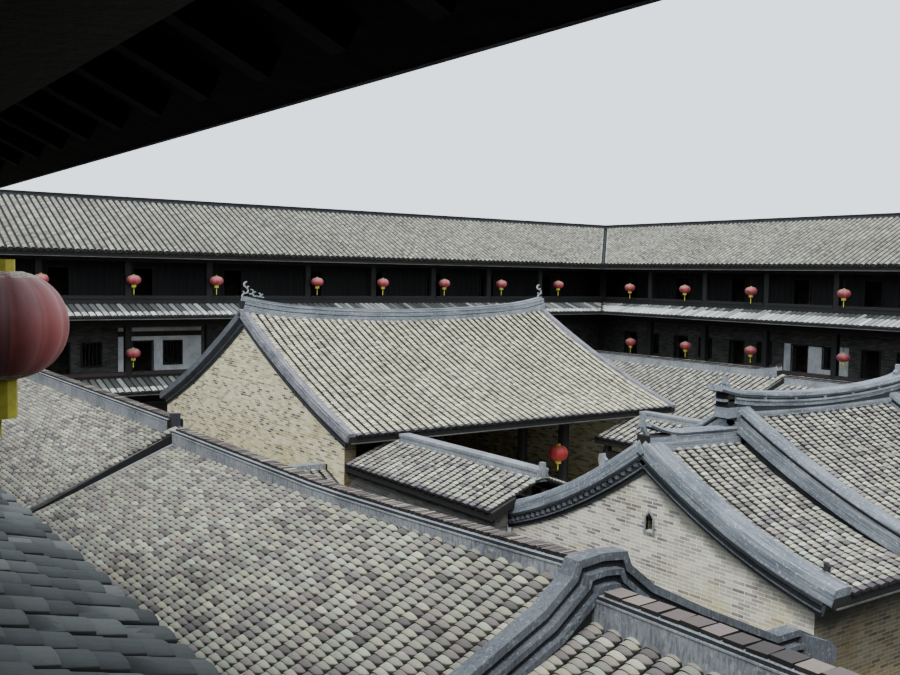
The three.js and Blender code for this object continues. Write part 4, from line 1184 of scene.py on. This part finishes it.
def bayLines(half, shift):
    pitch = (half + gallery["postDepth"] - gallery["middleBayHalf"]) / gallery["sideBays"]
    lines = [gallery["middleBayHalf"] + i * pitch for i in range(gallery["sideBays"])]
    corner = half + gallery["postDepth"]
    return sorted([-corner, corner] + [shift + side * line for line in lines for side in (-1, 1)])


def framed(shapes, turn, u, depth, width, low, high, sill=False):
    half, bar = width / 2, 0.06
    near, far = depth - 0.04, depth + 0.03
    for side in (-1, 1):
        shapes.block((u + side * half, near, low), (u + side * (half + bar), far, high), turn=turn)
    shapes.block((u - half - bar, near, high), (u + half + bar, far, high + bar), turn=turn)
    if sill:
        shapes.block((u - half - bar, near, low - bar), (u + half + bar, far, low), turn=turn)


def ringJoinery():
    doorWidth, doorHeight = rooms["door"]
    width, sill, height = rooms["window"]
    for name, (turn, eave, half) in wings.items():
        lines = bayLines(half, gallery["northShift"] if name == "north" else 0.0)
        frames, shutters, slats, rails = Shapes(), Shapes(), Shapes(), {1: Shapes(), 2: Shapes()}
        door, window = bayOpenings[name]
        face = eave + rooms["depth"]
        near, far = (eave + depth for depth in rooms["shutters"])
        for left, right in zip(lines, lines[1:]):
            middle = (left + right) / 2
            for outerWidth, low, high in rooms["outerWindows"]:
                shutters.block((middle - outerWidth / 2 - 0.02, near, low - 0.02),
                               (middle + outerWidth / 2 + 0.02, far, high + 0.02), turn=turn)
            for storey, floor in enumerate(gallery["floors"]):
                gate = name == "south" and storey == 0 and abs(middle) < 0.1
                if gate:
                    continue
                framed(frames, turn, middle + door, face, doorWidth, floor + 0.01, floor + doorHeight)
                if storey < 2:
                    low, high = floor + sill, floor + sill + height
                    framed(frames, turn, middle + window, face, width, low, high, sill=True)
                    for i in range(1, rooms["bars"] + 1):
                        u = middle + window - width / 2 + i * width / (rooms["bars"] + 1)
                        frames.block((u - 0.015, face + 0.06, low), (u + 0.015, face + 0.09, high), turn=turn)
                if storey:
                    top = floor + gallery["parapet"]
                    rails[storey].block((left + 0.12, eave + 0.7, top - 0.09),
                                        (right - 0.12, eave + 1.0, top + 0.035), turn=turn)
        for u in np.arange(-half - 2.2, half + 2.2, 0.3):
            shut = [abs(u - (left + right) / 2 - door) for left, right in zip(lines, lines[1:])]
            if min(shut) > doorWidth / 2 + 0.1:
                slats.block((u - 0.02, face - 0.02, 6.22), (u + 0.02, face + 0.01, 9.2), turn=turn)
        frames.make(f"{name}_room_joinery", "battenTimber", "old_timber")
        shutters.make(f"{name}_window_shutters", "timber", "old_timber")
        slats.make(f"{name}_screen_slats", "battenTimber", "old_timber")
        rails[1].make(f"{name}_second_storey_rail", "railTimber", "old_timber")
        rails[2].make(f"{name}_third_storey_rail", "shadedGalleryTimber", "old_timber")


def eaveRafters():
    fall = (ringRoof["ridge"] - ringRoof["eave"]) / ringRoof["ridgeDepth"]
    under = ringRoof["eave"] - ringRoof["thickness"]
    for name, (turn, eave, half) in wings.items():
        rafters = Shapes()
        for u in np.arange(-half, half + 0.01, 0.35):
            path = turned([(u, eave + d, under + fall * d - 0.035) for d in (0.16, 2.25)], turn)
            rafters.sweep(path, plate(0.03, -0.04, 0.04))
        rafters.make(f"{name}_eave_rafters", "battenTimber", "old_timber")


# Lime-washed front of one room in the north wing and of one in the east wing, on the second storey.
def limewashedRooms():
    face = court["halfY"] + rooms["depth"]
    wash, beams = Shapes(), Shapes()
    for left, right, low, high in ((-6.49, -5.91, 3.3, 5.26), (-5.15, -4.65, 3.3, 5.26),
                                   (-3.95, -3.11, 3.3, 5.26), (-5.91, -5.15, 5.04, 5.26),
                                   (-4.65, -3.95, 5.03, 5.26), (-4.65, -3.95, 3.3, 4.15)):
        wash.block((left, face - 0.02, low), (right, face + 0.01, high))
    wash.block((-6.49, face - 0.02, 5.46), (-3.11, face + 0.01, 5.61))
    beams.block((-6.49, face - 0.05, 5.26), (-3.11, face + 0.01, 5.46))
    eastFace = court["halfX"] + rooms["depth"]
    for left, right, low, high in ((8.67, 9.09, 3.3, 5.1), (7.1, 7.91, 3.3, 5.1), (5.9, 6.4, 3.3, 5.1),
                                   (6.4, 7.1, 3.3, 4.15), (6.4, 8.67, 5.04, 5.1)):
        wash.block((eastFace - 0.02, left, low), (eastFace + 0.01, right, high))
    wash.make("limewashed_room_fronts", "limewash", "lime_plaster")
    beams.make("limewashed_room_beam", "timber", "old_timber")


# Lanterns: puffed silk gores, a collar above, a skirt and a tail below, and a cord

lanterns = {
    "gallery": {"radius": 0.27, "half": 0.175, "gores": 12, "perGore": 3, "rings": 8, "dent": 0.06,
                "collar": (0.045, 0.035), "skirt": (0.09, 0.1), "tail": (0.014, 0.27), "cord": 0.42,
                "fall": 0.7, "silk": "farSilk", "trim": "fringe"},
    "back_hall": {"radius": 0.31, "half": 0.235, "gores": 14, "perGore": 3, "rings": 10, "dent": 0.05,
                  "collar": (0.07, 0.05), "skirt": (0.1, 0.09), "tail": (0.02, 0.2), "cord": 0.5, "fall": 0.6,
                  "silk": "freshSilk", "trim": "fringe"},
    "near": {"radius": 0.345, "half": 0.27, "gores": 12, "perGore": 6, "rings": 20, "dent": 0.05,
             "collar": (0.092, 0.06), "skirt": (0.098, 0.2), "tail": (0.02, 0.1), "cord": 0.3, "fall": 3.0,
             "silk": "nearSilk", "trim": "oldFringe"},
}


# Where a lantern is brightest, as an angle round it.
lightSide = -0.62


# One silk body; each gore is paler the more it faces the light side.
def silkBody(name, size):
    points, faces, tones, rises = [], [], [], []
    rings, perGore = size["rings"], size["perGore"]
    around = size["gores"] * perGore
    for j in range(rings + 1):
        angle = math.pi * (0.09 + 0.82 * j / rings)
        z = size["half"] * math.cos(angle) / math.cos(0.09 * math.pi)
        for i in range(around):
            puff = 1.0 - size["dent"] * (1.0 - math.sin(math.pi * (i % perGore) / perGore))
            r = size["radius"] * math.sin(angle) ** 0.8 * puff
            turn = 2 * math.pi * i / around
            points.append((r * math.cos(turn), r * math.sin(turn), z))
    for j in range(rings):
        for i in range(around):
            k = (i + 1) % around
            faces.append([j * around + i, (j + 1) * around + i, (j + 1) * around + k, j * around + k])
            turn = 2 * math.pi * (i // perGore + 0.5) / size["gores"]
            lit = (0.5 + 0.5 * math.cos(turn - lightSide)) ** size["fall"]
            tones.append(lit * (0.65 + 0.35 * ((i // perGore) % 2)) if size["fall"] < 1 else lit)
            rises.append(1.0 - (j + 0.5) / rings)
    faces += [list(range(around)), [rings * around + i for i in range(around)][::-1]]
    body = meshObject(name, points, faces)
    for attributeName, values in (("gore", tones + [0.0, 0.0]), ("rise", rises + [1.0, 0.0])):
        body.data.attributes.new(attributeName, "FLOAT", "FACE").data.foreach_set("value", values)
    body.data.shade_smooth()
    return body


def ringed(shapes, radius, low, high, count=10):
    start = len(shapes.points)
    turns = [2 * math.pi * i / count for i in range(count)]
    for z in (low, high):
        shapes.points += [(radius * math.cos(turn), radius * math.sin(turn), z) for turn in turns]
    for i in range(count):
        k = (i + 1) % count
        shapes.faces.append([start + i, start + k, start + count + k, start + count + i])
    shapes.faces += [[start + i for i in range(count)][::-1], [start + count + i for i in range(count)]]
    shapes.marks += [0] * (count + 2)


def hangKind(kind, places):
    size = lanterns[kind]
    half = size["half"]
    trim, cord = Shapes(), Shapes()
    radius, tall = size["collar"]
    ringed(trim, radius, half * 0.95, half + tall)
    radius, tall = size["skirt"]
    ringed(trim, radius, -half - tall, -half * 0.95)
    ringed(trim, size["tail"][0], -half - tall - size["tail"][1], -half - tall + 0.01)
    ringed(cord, 0.009, half, half + size["cord"], 6)
    parts = {"silk": (silkBody(f"{kind}_silk_form", size), size["silk"]),
             "trim": (meshObject(f"{kind}_trim_form", trim.points, trim.faces), size["trim"]),
             "cord": (meshObject(f"{kind}_cord_form", cord.points, cord.faces), "gap")}
    for part, (form, finish) in parts.items():
        templates[form.name] = form
        layAt(f"{kind}_lantern_{part}", places, unturned(places), form.name, finish, 5)


def hangLanterns():
    north = (-9.77, -6.46, -3.2, 1.25, 4.48, 7.78, 11.11, 14.73)
    eastThird = (16.92, 13.36, 9.59, 5.05, 1.2, -2.4, -5.8, -9.2, -12.6)
    eastSecond = ((16.77, 4.7), (13.22, 4.76), (9.5, 4.8), (4.96, 4.84))
    places = [(x, 18.85, 7.51) for x in north] + [(-6.49, 18.85, 4.76)]
    places += [(x, -18.85, 7.51) for x in north[2:]]
    places += [(17.8, y, 7.42) for y in eastThird] + [(17.8, y, z) for y, z in eastSecond]
    places += [(-17.8, y, 7.42) for y in (-3.5, 0.3, 4.1, 8.3, 12.4, 15.9)]
    hangKind("gallery", places)
    hangKind("back_hall", [(1.82, 4.2, 2.51)])
    hangKind("near", [(-17.45, -13.0, 7.61)])


# The frame's own nodes take their finishes here.
def finishNodes():
    nodes = [found for found in bpy.data.objects if found.name in frame["nodes"]]
    rules = (("roof", "deck"), ("screen", "shadedGalleryTimber"), ("gallery_frame", "shadedGalleryTimber"),
             ("floor", "timber"), ("frame", "timber"), ("posts", "timber"), ("beams", "timber"),
             ("stepped_gable", "recess"),
             ("back_hall", "tanBrick"), ("front_hall", "greyBrick"), ("outer_wall", "outerBrick"))
    for found in nodes:
        finish = next((value for key, value in rules if key in found.name), "darkBrick")
        found.data.materials.clear()
        found.data.materials.append(finishes[finish])


# Floor, camera and light

camera = {"lens": 39.76, "sensor": 36.0, "place": (-9.25, -9.2, 3.95), "right": (0.8138, -0.5809, 0.01726),
          "top": (0.0225, 0.0612, 0.9979), "back": (-0.5807, -0.8117, 0.0628)}
sunlight = {"towards": (-0.5, -0.42, 0.76), "strength": 2.75, "spread": 28.0, "colour": (1.0, 0.98, 0.95)}
skylight = {"colour": (0.8, 0.88, 0.97), "strength": 2.2}


def stageScene():
    bpy.ops.mesh.primitive_plane_add(size=160.0, location=(0.0, 0.0, -0.002))
    floor = bpy.context.object
    floor.name = "pale_floor"
    material, tree = newMaterial("pale_floor", 0.9)
    tree.nodes["Principled BSDF"].inputs["Base Color"].default_value = (0.55, 0.55, 0.53, 1.0)
    floor.data.materials.append(material)
    floor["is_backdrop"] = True

    world = bpy.data.worlds.new("studio")
    world.use_nodes = True
    background = world.node_tree.nodes["Background"]
    background.inputs["Color"].default_value = (*skylight["colour"], 1.0)
    background.inputs["Strength"].default_value = skylight["strength"]
    bpy.context.scene.world = world

    sun = bpy.data.lights.new("soft_key", "SUN")
    sun.energy, sun.color = sunlight["strength"], sunlight["colour"]
    sun.angle = math.radians(sunlight["spread"])
    lamp = linked(bpy.data.objects.new("soft_key", sun))
    lamp.rotation_euler = Vector(sunlight["towards"]).to_track_quat("Z", "Y").to_euler()

    lens = bpy.data.cameras.new("view")
    lens.lens, lens.sensor_width = camera["lens"], camera["sensor"]
    lens.clip_start, lens.clip_end = 0.05, 400.0
    eye = linked(bpy.data.objects.new("view", lens))
    axes = [camera[key] for key in ("right", "top", "back", "place")]
    eye.matrix_world = Matrix([[axis[i] for axis in axes] for i in range(3)] + [[0, 0, 0, 1]])
    bpy.context.scene.camera = eye


layRoofTiles()
layPentTiles()
layRingRibs()
makeRingTrim()
rowRidges()
partyWallTops()
backHallRidge()
frontCentreRidge()
frontSideRidges()
hallVerges()
hallEaveBoards()
pointedFrames()
steppedCopings()
galleryAndLinkRidges()
print("ridges and verges made")
ringJoinery()
eaveRafters()
limewashedRooms()
print("joinery made")
hangLanterns()
for template in templates.values():
    bpy.data.objects.remove(template)
print("lanterns hung")
finishNodes()
stageScene()
[[list(corner) for corner in box] for box in (cadBox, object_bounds())]
